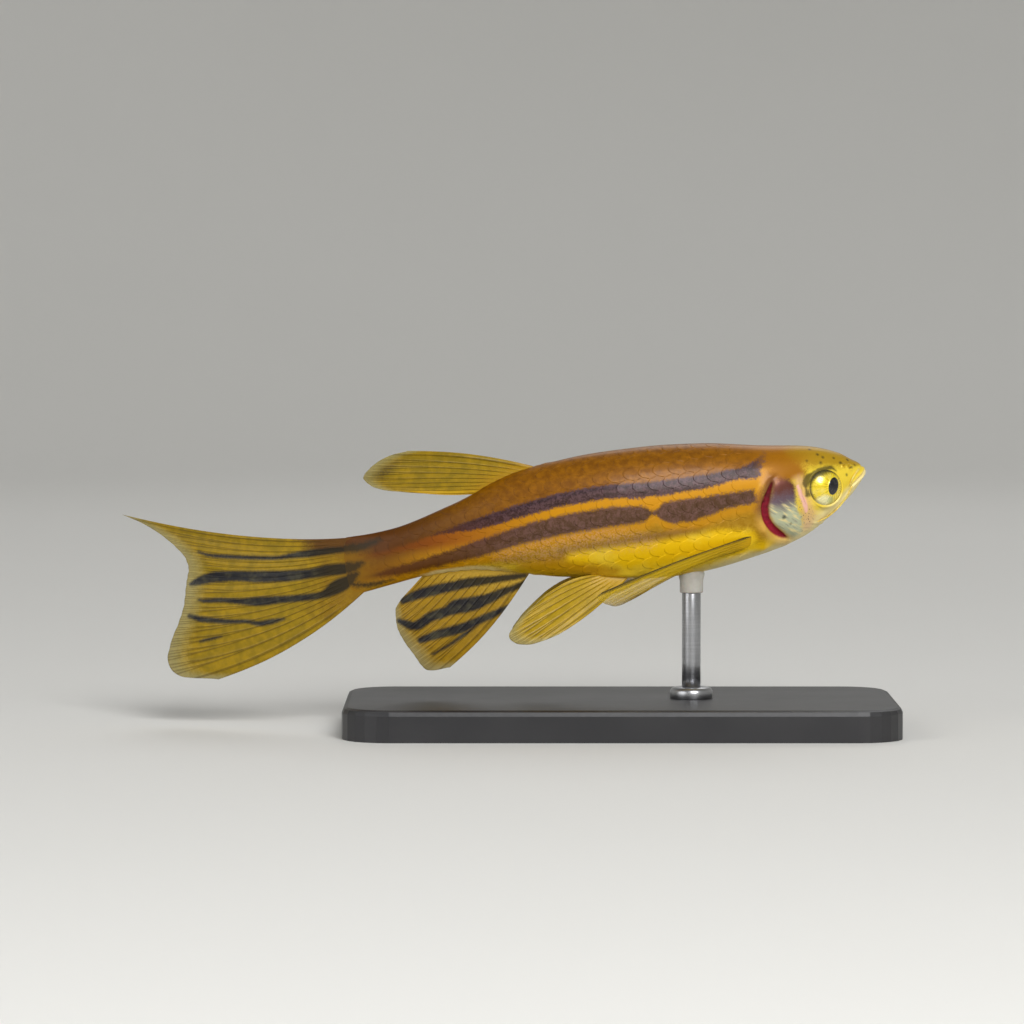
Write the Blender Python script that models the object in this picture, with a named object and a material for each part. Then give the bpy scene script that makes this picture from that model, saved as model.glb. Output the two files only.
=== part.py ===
"""A life-size still model of a zebra danio swimming head up on a plain display stand.

Sizes are in millimetres until the last step, which writes metres. The fish is drawn straight first:
s runs back from the tip of the snout, w out to the fish's right and h up from the body's midline.
The pose then bends that midline, so the fish heads along +X with +Z up and its right side towards -Y.
"""

import math

import bmesh
import bpy
import numpy as np
from mathutils import Matrix, Vector

MM = 0.001
GAP = 0.3

# Driving sizes of the body, from the tip of the snout
BODY_LENGTH = 34.0
VENT = 22.0
SNOUT_ROUNDING = 0.45
HEIGHT_ABOVE = ((0, 0.42), (0.8, 0.95), (1.5, 1.48), (3.4, 2.28), (6.3, 2.87), (10.4, 3.7), (14, 4.02),
                (17, 4.08), (21.8, 3.72), (26.5, 2.6), (30.6, 1.98), (34, 1.92))
DEPTH_BELOW = ((0, 0.32), (1.2, 1.42), (3.4, 2.8), (4.9, 3.46), (7.6, 4.02), (12.4, 4.5), (15, 4.4),
               (18, 3.86), (21, 3.32), (23.5, 2.5), (26.5, 1.68), (29, 1.46), (34, 1.78))
HALF_WIDTH = ((0, 0.62), (1, 1.12), (2, 1.5), (3, 1.78), (4.5, 2.08), (6.4, 2.36), (8, 2.42), (12, 2.55),
              (16, 2.44), (20, 2.04), (24, 1.5), (28, 0.98), (31, 0.7), (34, 0.42))
BACK_BLUNTNESS = ((0, 0.85), (3, 0.72), (8, 0.84), (20, 0.92), (34, 0.95))
BELLY_BLUNTNESS = ((0, 0.95), (4, 1.02), (10, 0.88), (16, 0.92), (22, 1.1), (34, 0.95))

# The pose: how far the midline points up, and away to the fish's left, in degrees at each length
PITCH = ((0, 11), (7, 9.8), (13, 8), (18, 8.5), (24, 13), (29, 13.5), (34, 8), (38, 4), (50, 2))
YAW = ((0, 15), (8, 11), (16, 5), (24, -2), (30, -6), (34, -9), (40, -14), (50, -20))
MIDLINE_END = 52.0
MIDLINE_STEP = 0.05
SNOUT_AT = (15.6, 2.45, 16.4)

# Around the body
AROUND = 28
HEAD_RINGS = 19
TORSO_RINGS = 17
TAIL_RINGS = 11

# The head ends at the nape, behind the gill covers and under the throat
NAPE = 6.3
GILL_EDGE = 7.15
THROAT = 5.7
GILL_EDGE_FULLNESS = (1.4, 0.7)

# Gill covers: a rounded plate set into each cheek, by length and by degrees down from the back
COVER_CENTRE = (6.06, 111.0)
COVER_REACH = (0.88, 41.0)
COVER_SQUARENESS = 2.5
COVER_THICKNESS = 0.55
COVER_BULGE = 0.1
COVER_GROWTH_DEGREES = 7.0
HOLLOW_PAST_HEAD = 1.6
COVER_RINGS = 4
COVER_AROUND = 26

# Eyes
EYE_AT = (3.24, -0.42)
EYE_RADIUS = 1.15
EYE_HALF_DEPTH = 0.68
EYE_STANDS_PROUD = 0.2
EYE_TURNED_FORWARD = 8.0

# Mouth, nostrils and barbels
MOUTH_LENGTH = 1.35
MOUTH_START = 0.06
MOUTH_SLOPE = 0.6
LIP_RADIUS = 0.17
LIP_SPREAD = 0.17
MOUTH_GROOVE = 0.09
NOSTRILS = ((1.26, 0.5, 0.2), (1.64, 0.66, 0.16))
NOSTRIL_RIM = 0.09
LIP_BARBEL = ((0.62, 0.22), (0.9, 0.05), (1.25, -0.25), (1.56, -0.62))
JAW_BARBEL = ((1.28, -0.72), (1.75, -1.35), (2.4, -1.95), (3.2, -2.35), (4.0, -2.5))
BARBEL_RADIUS = 0.13

# Fins: membrane and ray sizes, then each fin's root and margin
MEMBRANE = 0.5
RAY_HEIGHT = 0.12
RAY_HEIGHT_LEFT = 0.65
MARGIN_THICKNESS = 0.26
MARGIN_TAPER = 0.18

DORSAL_RAYS = 9
DORSAL_ROOT = (20.3, 24.2)
DORSAL_MARGIN = ((0, 28.6, 6.62), (0.12, 29.9, 6.42), (0.3, 31.0, 6.0), (0.5, 31.65, 5.45),
                 (0.66, 31.3, 4.95), (0.82, 30.5, 4.5), (1, 28.8, 3.98))
DORSAL_BOW = (0.34, -0.16)
DORSAL_SWAY = 0.7

ANAL_RAYS = 13
ANAL_ROOT = (22.3, 28.8)
ANAL_MARGIN = ((0, 29.3, -7.64), (0.1, 30.4, -7.3), (0.3, 30.9, -6.2), (0.5, 31.3, -5.2),
               (0.7, 31.52, -4.1), (0.86, 31.42, -3.2), (1, 31.0, -2.6))
ANAL_BOW = (-0.5, 0.0)
ANAL_SWAY = -0.5

CAUDAL_RAYS = 18
CAUDAL_ROOT_HEIGHTS = (1.76, -1.7)
CAUDAL_ROOT_CURVE = 0.55
CAUDAL_MARGIN = ((0, 50.2, 4.05), (0.04, 48.9, 3.6), (0.1, 47.3, 2.85), (0.18, 45.9, 1.95), (0.28, 45.0, 1.15),
                 (0.4, 44.6, 0.3), (0.5, 44.65, -0.5), (0.6, 44.8, -1.6), (0.7, 45.25, -2.8), (0.8, 45.95, -4.1),
                 (0.88, 46.3, -5.3), (0.95, 45.6, -6.4), (1, 43.6, -6.8))
CAUDAL_BOW = (-0.35, -0.68)
CAUDAL_LOBE_LEAN = 2.9
CAUDAL_LOBE_CURL = 0.7

PELVIC_RAYS = 7
PELVIC_ROOT = ((16.1, -3.95), (17.7, -3.62))
PELVIC_MARGIN = ((0, 21.7, 1.95, -6.9), (0.2, 23.3, 2.15, -7.05), (0.4, 24.35, 2.3, -6.75),
                 (0.55, 24.65, 2.35, -6.25), (0.75, 23.95, 2.2, -5.5), (1, 22.0, 1.75, -4.3))
PELVIC_BOW = (-0.36, -0.05)

PECTORAL_RAYS = 8
PECTORAL_ROOT = ((7.7, -2.4), (7.8, -3.4))
PECTORAL_MARGIN = ((0, 18.84, 5.4, -4.51), (0.25, 18.42, 5.15, -5.0), (0.5, 17.5, 4.5, -5.42),
                   (0.75, 16.5, 3.75, -5.2), (1, 15.4, 3.05, -4.7))
PECTORAL_BOW = (0.25, 0.5)

# Display stand
BASE_SIZE = (35.0, 18.0, 2.0)
BASE_CORNER = 3.0
BASE_EDGE = 0.35
ROD_STATION = 12.2
ROD_RADIUS = 0.6
ROD_SIDES = 20

# Colours and finishes, as the photograph shows them
FINISHES = {
    "back": ((0.34, 0.2, 0.045), 0.42, 0.0),
    "flank": ((0.5, 0.35, 0.07), 0.38, 0.1),
    "gill": ((0.4, 0.36, 0.3), 0.3, 0.25),
    "iris": ((0.62, 0.5, 0.1), 0.18, 0.3),
    "fin": ((0.4, 0.36, 0.06), 0.5, 0.0),
    "striped_fin": ((0.3, 0.27, 0.12), 0.5, 0.0),
    "base": ((0.03, 0.03, 0.033), 0.35, 0.0),
    "rod": ((0.6, 0.6, 0.6), 0.3, 1.0),
}


def smooth(keys, x):
    """A smooth line with no overshoot through (x, value) keys."""
    at, value = np.array(keys, float).T
    x = np.clip(np.asarray(x, float), at[0], at[-1])
    step = np.diff(at)
    slope = np.diff(value) / step
    tangent = np.concatenate([slope[:1], slope[:-1], slope[-1:]])
    for k in range(1, len(at) - 1):
        a, b = slope[k - 1], slope[k]
        tangent[k] = 2 * a * b / (a + b) if a * b > 0 else 0.0
    tangent[0], tangent[-1] = slope[0], slope[-1]
    i = np.clip(np.searchsorted(at, x, side="right") - 1, 0, len(step) - 1)
    t = (x - at[i]) / step[i]
    rise = (3 - 2 * t) * t * t
    lead = t * (1 - t) ** 2
    land = t * t * (t - 1)
    return value[i] * (1 - rise) + value[i + 1] * rise + step[i] * (lead * tangent[i] + land * tangent[i + 1])


def blend(a, b, t):
    """The value a share t of the way from a to b."""
    return a + (b - a) * t


# The midline in the pose, found once by adding up short steps back from the snout
STATIONS = np.arange(0, MIDLINE_END + MIDLINE_STEP, MIDLINE_STEP)
UPWARD, ASIDE = np.radians(smooth(PITCH, STATIONS)), np.radians(smooth(YAW, STATIONS))
HEADING = np.stack([np.cos(UPWARD) * np.cos(ASIDE), np.cos(UPWARD) * np.sin(ASIDE), np.sin(UPWARD)], axis=-1)
MIDLINE = np.array(SNOUT_AT) - np.concatenate(
    [np.zeros((1, 3)), np.cumsum((HEADING[1:] + HEADING[:-1]) / 2 * MIDLINE_STEP, axis=0)])


def body_axes(s):
    """The midline's place at s, and the directions ahead, to the fish's right and up there."""
    s = np.asarray(s, float)
    place = np.stack([np.interp(s, STATIONS, MIDLINE[:, k]) for k in range(3)], axis=-1)
    ahead = np.stack([np.interp(s, STATIONS, HEADING[:, k]) for k in range(3)], axis=-1)
    ahead /= np.linalg.norm(ahead, axis=-1, keepdims=True)
    right = np.stack([ahead[..., 1], -ahead[..., 0], np.zeros_like(s)], axis=-1)
    right /= np.linalg.norm(right, axis=-1, keepdims=True)
    place = place - ahead * np.minimum(s, 0)[..., None]
    return place, ahead, right, np.cross(right, ahead)


def posed(points):
    """Points (s, w, h) of the straight fish, moved to their place in the pose, in millimetres."""
    points = np.asarray(points, float)
    place, _, right, up = body_axes(points[..., 0])
    return place + right * points[..., 1:2] + up * points[..., 2:3]


def rounding(s):
    """How much of the full section is left at s, where the snout closes."""
    left = 1 - np.clip(np.asarray(s, float) / SNOUT_ROUNDING, 0, 1)
    return np.sqrt(np.clip(1 - left * left, 0, 1))


def section(s, degrees, inset=0.0):
    """(w, h) of the body's surface at length s and at an angle down from the back, on the right at 90."""
    s = np.asarray(s, float)
    turn = np.radians(np.asarray(degrees, float))
    across, along = np.sin(turn), np.cos(turn)
    above = along > 0
    power = np.where(above, smooth(BACK_BLUNTNESS, s), smooth(BELLY_BLUNTNESS, s))
    tall = np.where(above, smooth(HEIGHT_ABOVE, s), smooth(DEPTH_BELOW, s))
    wide = np.sign(across) * np.abs(across) ** power * (smooth(HALF_WIDTH, s) * rounding(s) - inset)
    return wide, along * (tall * rounding(s) - inset)


def surface_point(s, degrees, inset=0.0):
    """(s, w, h) of the body's surface."""
    s, degrees = np.broadcast_arrays(np.asarray(s, float), np.asarray(degrees, float))
    wide, high = section(s, degrees, inset)
    return np.stack([s, wide, high], axis=-1)


def side_reach(s, h):
    """How far out the body's surface is at length s and height h."""
    tall = smooth(HEIGHT_ABOVE if h > 0 else DEPTH_BELOW, s) * rounding(s)
    power = smooth(BACK_BLUNTNESS if h > 0 else BELLY_BLUNTNESS, s)
    level = min(abs(h) / max(float(tall), 1e-6), 1.0)
    return float(smooth(HALF_WIDTH, s) * rounding(s) * (1 - level * level) ** (power / 2))


def head_end(degrees):
    """Where the head ends, at an angle down from the back: nape, gill opening and throat."""
    turn = np.radians(np.asarray(degrees, float))
    above = np.cos(turn) > 0
    edge, fullness = np.where(above, NAPE, THROAT), np.where(above, *GILL_EDGE_FULLNESS)
    return blend(edge, GILL_EDGE, np.abs(np.sin(turn)) ** fullness)


def tail_end(h):
    """Where the flesh of the tail ends at height h, a rounded edge that the tail fin's rays start from."""
    return BODY_LENGTH + 0.2 - CAUDAL_ROOT_CURVE * (np.asarray(h, float) / 1.9) ** 2


def finish(name):
    """The material of that name, made once."""
    if name in bpy.data.materials:
        return bpy.data.materials[name]
    colour, roughness, metallic = FINISHES[name]
    material = bpy.data.materials.new(name)
    material.use_nodes = True
    shader = material.node_tree.nodes["Principled BSDF"]
    shader.inputs["Base Color"].default_value = (*colour, 1)
    shader.inputs["Roughness"].default_value = roughness
    shader.inputs["Metallic"].default_value = metallic
    material.diffuse_color = (*colour, 1)
    return material


def new_object(name, mesh, collection, material=None):
    """An object for a mesh, in its collection."""
    made = bpy.data.objects.new(name, mesh)
    collection.objects.link(made)
    if material:
        mesh.materials.append(finish(material))
        mesh.shade_smooth()
        mesh.set_sharp_from_angle(angle=math.radians(40))
    return made


def mesh_of(shape):
    """The mesh of a bmesh whose points are in millimetres, in metres, with its faces pointing out."""
    bmesh.ops.recalc_face_normals(shape, faces=shape.faces)
    bmesh.ops.scale(shape, vec=(MM, MM, MM), verts=shape.verts)
    mesh = bpy.data.meshes.new("shape")
    shape.to_mesh(mesh)
    shape.free()
    return mesh


def ring_loft(rings, tip=None, ends=()):
    """A closed skin over rings of posed points, from a tip or a capped ring to another capped ring."""
    shape = bmesh.new()
    lines = [[shape.verts.new(p) for p in ring] for ring in rings]
    count = len(lines[0])
    for near, far in zip(lines, lines[1:]):
        for k in range(count):
            shape.faces.new((near[k], near[(k + 1) % count], far[(k + 1) % count], far[k]))
    caps = [(lines[0], tip)] if tip is not None else [(lines[0], ends[0])]
    for line, centre in [*caps, (lines[-1], ends[-1])]:
        middle = shape.verts.new(centre)
        for k in range(count):
            shape.faces.new((line[k], line[(k + 1) % count], middle))
    return mesh_of(shape)


def two_faced_sheet(middle, thickness):
    """A closed sheet over a grid of posed points, split into the same triangles on both faces."""
    along, across = np.gradient(middle, axis=0), np.gradient(middle, axis=1)
    normal = np.cross(along, across)
    normal /= np.linalg.norm(normal, axis=-1, keepdims=True)
    shape = bmesh.new()
    faces = [[[shape.verts.new(p) for p in row] for row in middle + normal * thickness[..., None] * side / 2]
             for side in (1, -1)]
    rows, columns = middle.shape[:2]
    for grid in faces:
        for i in range(rows - 1):
            for j in range(columns - 1):
                a, b, c, d = grid[i][j], grid[i + 1][j], grid[i + 1][j + 1], grid[i][j + 1]
                shape.faces.new((a, b, c))
                shape.faces.new((a, c, d))
    rim = [(0, j) for j in range(columns)] + [(i, columns - 1) for i in range(1, rows)]
    rim += [(rows - 1, j) for j in range(columns - 2, -1, -1)] + [(i, 0) for i in range(rows - 2, 0, -1)]
    for (i, j), (m, n) in zip(rim, rim[1:] + rim[:1]):
        shape.faces.new((faces[0][i][j], faces[0][m][n], faces[1][m][n]))
        shape.faces.new((faces[0][i][j], faces[1][m][n], faces[1][i][j]))
    return mesh_of(shape)


def ray_thickness(along, rays):
    """Thickness over a fin's grid: a ridge at each ray, thinning to the margin. Also where each column lies."""
    columns = 2 * rays + 1
    ridge = np.arange(columns) % 2
    fade = np.clip((1 - along) / MARGIN_TAPER, 0, 1)
    sheet = blend(MARGIN_THICKNESS, MEMBRANE, fade)
    raised = 2 * RAY_HEIGHT * blend(1.0, RAY_HEIGHT_LEFT, along) * fade
    return sheet[:, None] + raised[:, None] * ridge[None, :], np.linspace(0, 1, columns)


def fan(root, margin, bow, along, across):
    """A fin's middle surface (s, w, h): straight lines from root to margin, bowed up or down in between."""
    reach = np.stack([smooth([(m[0], m[k]) for m in margin], across) for k in (1, 2, 3)], axis=-1)
    grid = blend(root[None], reach[None], along[:, None, None])
    lift = np.sin(np.pi * along)[:, None] * blend(bow[0], bow[1], across)[None, :]
    grid[..., 2] += lift
    return grid


def with_no_width(margin):
    """A median fin's margin, which lies in the body's middle plane."""
    return [(v, s, 0.0, h) for v, s, h in margin]


def boolean(target, others, operation):
    """Joins a collection's objects to the target, or cuts them from it, applies it and removes them."""
    group = bpy.data.collections.new(operation.lower())
    bpy.context.scene.collection.children.link(group)
    group.hide_render = True
    for other in others:
        for owner in list(other.users_collection):
            owner.objects.unlink(other)
        group.objects.link(other)
    modifier = target.modifiers.new(operation.title(), "BOOLEAN")
    modifier.operation = operation
    modifier.operand_type = "COLLECTION"
    modifier.collection = group
    modifier.solver = "EXACT"
    bpy.context.view_layer.update()
    graph = bpy.context.evaluated_depsgraph_get()
    mesh = bpy.data.meshes.new_from_object(target.evaluated_get(graph))
    target.modifiers.clear()
    target.data = mesh
    for other in list(group.objects):
        bpy.data.objects.remove(other)
    bpy.data.collections.remove(group)


def keep_largest(target):
    """Leaves only the largest closed surface of an object, which drops loose scraps and sealed hollows."""
    shape = bmesh.new()
    shape.from_mesh(target.data)
    unseen, groups = set(shape.verts), []
    while unseen:
        group, edge = set(), [next(iter(unseen))]
        while edge:
            vert = edge.pop()
            if vert in group:
                continue
            group.add(vert)
            edge += [e.other_vert(vert) for e in vert.link_edges]
        unseen -= group
        groups.append(group)
    largest = max(groups, key=len)
    bmesh.ops.delete(shape, geom=[v for v in shape.verts if v not in largest], context="VERTS")
    shape.to_mesh(target.data)
    shape.free()


def rounded_pod(name, at, radii, forward, collection, side, material=None, segments=24, rings=14):
    """An ellipsoid at (s, w, h) with its poles across the body, turned forward by some degrees."""
    bpy.ops.mesh.primitive_uv_sphere_add(segments=segments, ring_count=rings, radius=1)
    made = bpy.context.object
    shape = bmesh.new()
    shape.from_mesh(made.data)
    bmesh.ops.scale(shape, vec=[MM * r for r in radii], verts=shape.verts)
    shape.to_mesh(made.data)
    shape.free()
    made.name = name
    for owner in list(made.users_collection):
        owner.objects.unlink(made)
    collection.objects.link(made)
    _, ahead, right, up = body_axes(at[0])
    outward = Vector(right) * side * math.cos(math.radians(forward)) + Vector(ahead) * math.sin(math.radians(forward))
    across = Vector(up).cross(outward)
    made.matrix_world = Matrix.Translation(Vector(posed(at)) * MM) @ Matrix((across, up, outward)).transposed().to_4x4()
    if material:
        made.data.materials.append(finish(material))
        made.data.shade_smooth()
    return made


def soft_tube(name, points, radii, collection, sides=2):
    """A mesh tube with closed ends along posed points in millimetres, with a radius at each point."""
    curve = bpy.data.curves.new(name, "CURVE")
    curve.dimensions = "3D"
    curve.bevel_depth = MM
    curve.bevel_resolution = sides
    curve.use_fill_caps = True
    spline = curve.splines.new("POLY")
    spline.points.add(len(points) - 1)
    for point, place, radius in zip(spline.points, points, radii):
        point.co = (*(np.asarray(place) * MM), 1)
        point.radius = radius
    guide = bpy.data.objects.new(name + "_line", curve)
    collection.objects.link(guide)
    bpy.context.view_layer.update()
    graph = bpy.context.evaluated_depsgraph_get()
    mesh = bpy.data.meshes.new_from_object(guide.evaluated_get(graph))
    bpy.data.objects.remove(guide)
    shape = bmesh.new()
    shape.from_mesh(mesh)
    bmesh.ops.remove_doubles(shape, verts=shape.verts, dist=MM * 0.005)
    bmesh.ops.recalc_face_normals(shape, faces=shape.faces)
    shape.to_mesh(mesh)
    shape.free()
    return new_object(name, mesh, collection)


def mouth_line(lift, points=15):
    """(s, w, h) along the mouth, from the left corner round the snout to the right one, moved up by lift."""
    line = []
    for t in np.linspace(-1, 1, points):
        s = MOUTH_START + (MOUTH_LENGTH - MOUTH_START) * abs(t) ** 1.7
        h = MOUTH_START + lift - MOUTH_SLOPE * s
        line.append((s, math.copysign(side_reach(s, h), t) if abs(t) > 1e-6 else 0.0, h))
    return np.array(line)


def gill_cover_shape(side, grow=(0.0, 0.0), grow_degrees=0.0, outward=0.0, depth=COVER_THICKNESS):
    """The mesh of a gill cover, or of the hollow that it sits in, which grows ahead and back by two amounts."""
    turns = np.linspace(0, 2 * np.pi, COVER_AROUND, endpoint=False)
    power = 2 / COVER_SQUARENESS
    unit = np.stack([np.sign(np.cos(turns)) * np.abs(np.cos(turns)) ** power,
                     np.sign(np.sin(turns)) * np.abs(np.sin(turns)) ** power], axis=-1)
    faces = []
    for inset in (-outward, depth):
        rings = []
        for k in range(COVER_RINGS + 1):
            share = k / COVER_RINGS
            spots = unit * share if k else unit[:1] * 0
            s = COVER_CENTRE[0] + spots[:, 0] * (COVER_REACH[0] + np.where(spots[:, 0] > 0, grow[1], grow[0]))
            degrees = COVER_CENTRE[1] + spots[:, 1] * (COVER_REACH[1] + grow_degrees)
            rings.append(posed(surface_point(s, side * degrees, inset - COVER_BULGE * (1 - share * share))))
        faces.append(rings)
    shape = bmesh.new()
    lines = [[[shape.verts.new(p) for p in ring] for ring in rings] for rings in faces]
    for rings in lines:
        for near, far in zip(rings, rings[1:]):
            for k in range(COVER_AROUND):
                m = (k + 1) % COVER_AROUND
                corners = (near[0], far[k], far[m]) if len(near) == 1 else (near[k], far[k], far[m], near[m])
                shape.faces.new(corners)
    for k in range(COVER_AROUND):
        m = (k + 1) % COVER_AROUND
        shape.faces.new((lines[0][-1][k], lines[0][-1][m], lines[1][-1][m], lines[1][-1][k]))
    return mesh_of(shape)


def eye_spot():
    """Where each eye's centre lies, and how far out the head's surface is there."""
    s, h = EYE_AT
    return s, side_reach(s, h) + EYE_STANDS_PROUD - EYE_HALF_DEPTH, h


def make_head(collection):
    """The head with its lips, nostrils and barbels, hollowed for the eyes and the gill covers."""
    turns = np.arange(AROUND) * 360 / AROUND
    shares = (np.arange(1, HEAD_RINGS + 1) / HEAD_RINGS) ** 1.6
    rings = [posed(surface_point((head_end(turns) - GAP / 2) * share, turns)) for share in shares]
    middle = posed((GILL_EDGE - GAP, 0, 0))
    head = new_object("head", ring_loft(rings, tip=posed((0, 0, 0)), ends=(middle,)), collection, "back")
    pieces = []
    for name, lift in (("upper_lip", LIP_SPREAD), ("lower_lip", -LIP_SPREAD)):
        line = mouth_line(lift)
        radii = LIP_RADIUS * (1 - 0.45 * np.abs(np.linspace(-1, 1, len(line))) ** 2)
        pieces.append(soft_tube(name, posed(line), radii, collection))
    for side in (1, -1):
        for name, route in (("lip_barbel", LIP_BARBEL), ("jaw_barbel", JAW_BARBEL)):
            stand_off = np.linspace(-0.6, 0.9, len(route)) * BARBEL_RADIUS
            line = [(s, side * (side_reach(s, h) + off), h) for (s, h), off in zip(route, stand_off)]
            radii = BARBEL_RADIUS * np.linspace(1, 0.5, len(route))
            pieces.append(soft_tube(f"{name}_{side}", posed(line), radii, collection))
        for k, (s, h, radius) in enumerate(NOSTRILS):
            at = (s, side * (side_reach(s, h) - 0.05), h)
            wall = radius + NOSTRIL_RIM
            pieces.append(rounded_pod(f"nostril_rim_{k}_{side}", at, (wall, wall, wall * 0.8), 20, collection, side,
                                      segments=10, rings=6))
    boolean(head, pieces, "UNION")
    cutters = []
    for side in (1, -1):
        s, w, h = eye_spot()
        room = (EYE_RADIUS + GAP, EYE_RADIUS + GAP, EYE_HALF_DEPTH + GAP)
        cutters.append(rounded_pod(f"socket_{side}", (s, side * w, h), room, EYE_TURNED_FORWARD, collection, side,
                                   segments=20, rings=12))
        hollow = gill_cover_shape(side, (GAP, HOLLOW_PAST_HEAD), COVER_GROWTH_DEGREES, 1.0, COVER_THICKNESS + GAP)
        cutters.append(new_object(f"cheek_hollow_{side}", hollow, collection))
        for k, (s, h, radius) in enumerate(NOSTRILS):
            at = (s, side * (side_reach(s, h) + NOSTRIL_RIM * 0.6), h)
            cutters.append(rounded_pod(f"nostril_{k}_{side}", at, (radius, radius, radius * 1.3), 20, collection,
                                       side, segments=8, rings=6))
    groove = mouth_line(0.0)
    groove[:, 0] -= 0.06 * (1 - np.abs(np.linspace(-1, 1, len(groove))))
    groove[:, 1] *= 1.03
    cutters.append(soft_tube("mouth_groove", posed(groove), np.full(len(groove), MOUTH_GROOVE), collection, 1))
    boolean(head, cutters, "DIFFERENCE")
    keep_largest(head)


def make_torso(collection):
    """The trunk, from the gill opening to the vent."""
    turns = np.arange(AROUND) * 360 / AROUND
    front, back = head_end(turns) + GAP / 2, VENT - GAP / 2
    rings = [posed(surface_point(blend(front, back, k / TORSO_RINGS), turns)) for k in range(TORSO_RINGS + 1)]
    ends = (posed((GILL_EDGE, 0, 0)), posed((back, 0, 0)))
    new_object("torso", ring_loft(rings, ends=ends), collection, "flank")


def make_tail(collection):
    """The tail's fleshy part, from the vent to where the tail fin's rays start."""
    turns = np.arange(AROUND) * 360 / AROUND
    front = VENT + GAP / 2
    high = section(BODY_LENGTH, turns)[1]
    rings = [posed(surface_point(blend(front, tail_end(high), k / TAIL_RINGS), turns)) for k in range(TAIL_RINGS + 1)]
    ends = (posed((front, 0, 0)), posed((tail_end(0), 0, 0)))
    new_object("tail", ring_loft(rings, ends=ends), collection, "flank")


def make_gill_covers(collection):
    """A bony plate over the gills on each side."""
    for name, side in (("gill_cover_right", 1), ("gill_cover_left", -1)):
        new_object(name, gill_cover_shape(side), collection, "gill")


def make_eyes(collection):
    """The two eyes, each a thick lens in its socket."""
    s, w, h = eye_spot()
    for name, side in (("eye_right", 1), ("eye_left", -1)):
        rounded_pod(name, (s, side * w, h), (EYE_RADIUS, EYE_RADIUS, EYE_HALF_DEPTH), EYE_TURNED_FORWARD,
                    collection, side, "iris")


def make_fin(name, collection, material, root, margin, bow, rays, rows, sway=None):
    """A fin from its root line to its margin, with a ridge for each ray."""
    along = np.linspace(0, 1, rows + 1)
    thickness, across = ray_thickness(along, rays)
    grid = fan(root(across), margin, bow, along, across)
    if sway:
        grid[..., 1] += sway(along[:, None], across[None, :], grid)
    return new_object(name, two_faced_sheet(posed(grid), thickness), collection, material)


def median_root(ends, side):
    """A fin's root just clear of the back (side 1) or the belly (side -1)."""
    def root(across):
        s = blend(ends[0], ends[1], across)
        tall = smooth(HEIGHT_ABOVE, s) if side > 0 else -smooth(DEPTH_BELOW, s)
        return np.stack([s, np.zeros_like(s), tall + side * GAP], axis=-1)
    return root


def make_median_fins(collection):
    """The dorsal fin, folded back, and the anal fin, spread."""
    make_fin("dorsal_fin", collection, "fin", median_root(DORSAL_ROOT, 1), with_no_width(DORSAL_MARGIN), DORSAL_BOW,
             DORSAL_RAYS, 10, lambda u, v, grid: DORSAL_SWAY * u * u * (1 - 0.5 * v))
    make_fin("anal_fin", collection, "striped_fin", median_root(ANAL_ROOT, -1), with_no_width(ANAL_MARGIN), ANAL_BOW,
             ANAL_RAYS, 9, lambda u, v, grid: ANAL_SWAY * u * u * (1 - 0.4 * v))


def caudal_root(across):
    """The tail fin's root, just clear of the rounded end of the flesh."""
    h = blend(CAUDAL_ROOT_HEIGHTS[0], CAUDAL_ROOT_HEIGHTS[1], across)
    return np.stack([tail_end(h) + GAP, np.zeros_like(h), h], axis=-1)


def caudal_sway(along, across, grid):
    """How far the tail fin leans to the fish's right: its upper lobe falls away to the left."""
    upper = np.clip(1 - across / 0.55, 0, 1) ** 1.3
    lower = np.clip((across - 0.6) / 0.4, 0, 1)
    return -CAUDAL_LOBE_LEAN * upper * along ** 1.4 - CAUDAL_LOBE_CURL * lower * along**2


def make_caudal_fin(collection):
    """The tail fin, with its two lobes on one membrane."""
    make_fin("caudal_fin", collection, "striped_fin", caudal_root, with_no_width(CAUDAL_MARGIN), CAUDAL_BOW,
             CAUDAL_RAYS, 12, caudal_sway)


def side_root(ends, side):
    """A paired fin's root, just clear of the flank."""
    def root(across):
        s, h = blend(ends[0][0], ends[1][0], across), blend(ends[0][1], ends[1][1], across)
        w = np.array([side_reach(a, b) for a, b in zip(s, h)]) + GAP + MEMBRANE / 2
        return np.stack([s, side * w, h], axis=-1)
    return root


def make_paired_fins(collection):
    """The pelvic fins, swept back under the belly, and the pectoral fins, held out and back."""
    for label, side in (("right", 1), ("left", -1)):
        mirrored = [[(v, s, side * w, h) for v, s, w, h in margin] for margin in (PELVIC_MARGIN, PECTORAL_MARGIN)]
        make_fin(f"pelvic_fin_{label}", collection, "fin", side_root(PELVIC_ROOT, side), mirrored[0], PELVIC_BOW,
                 PELVIC_RAYS, 8)
        make_fin(f"pectoral_fin_{label}", collection, "fin", side_root(PECTORAL_ROOT, side), mirrored[1],
                 PECTORAL_BOW, PECTORAL_RAYS, 9)


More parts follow.
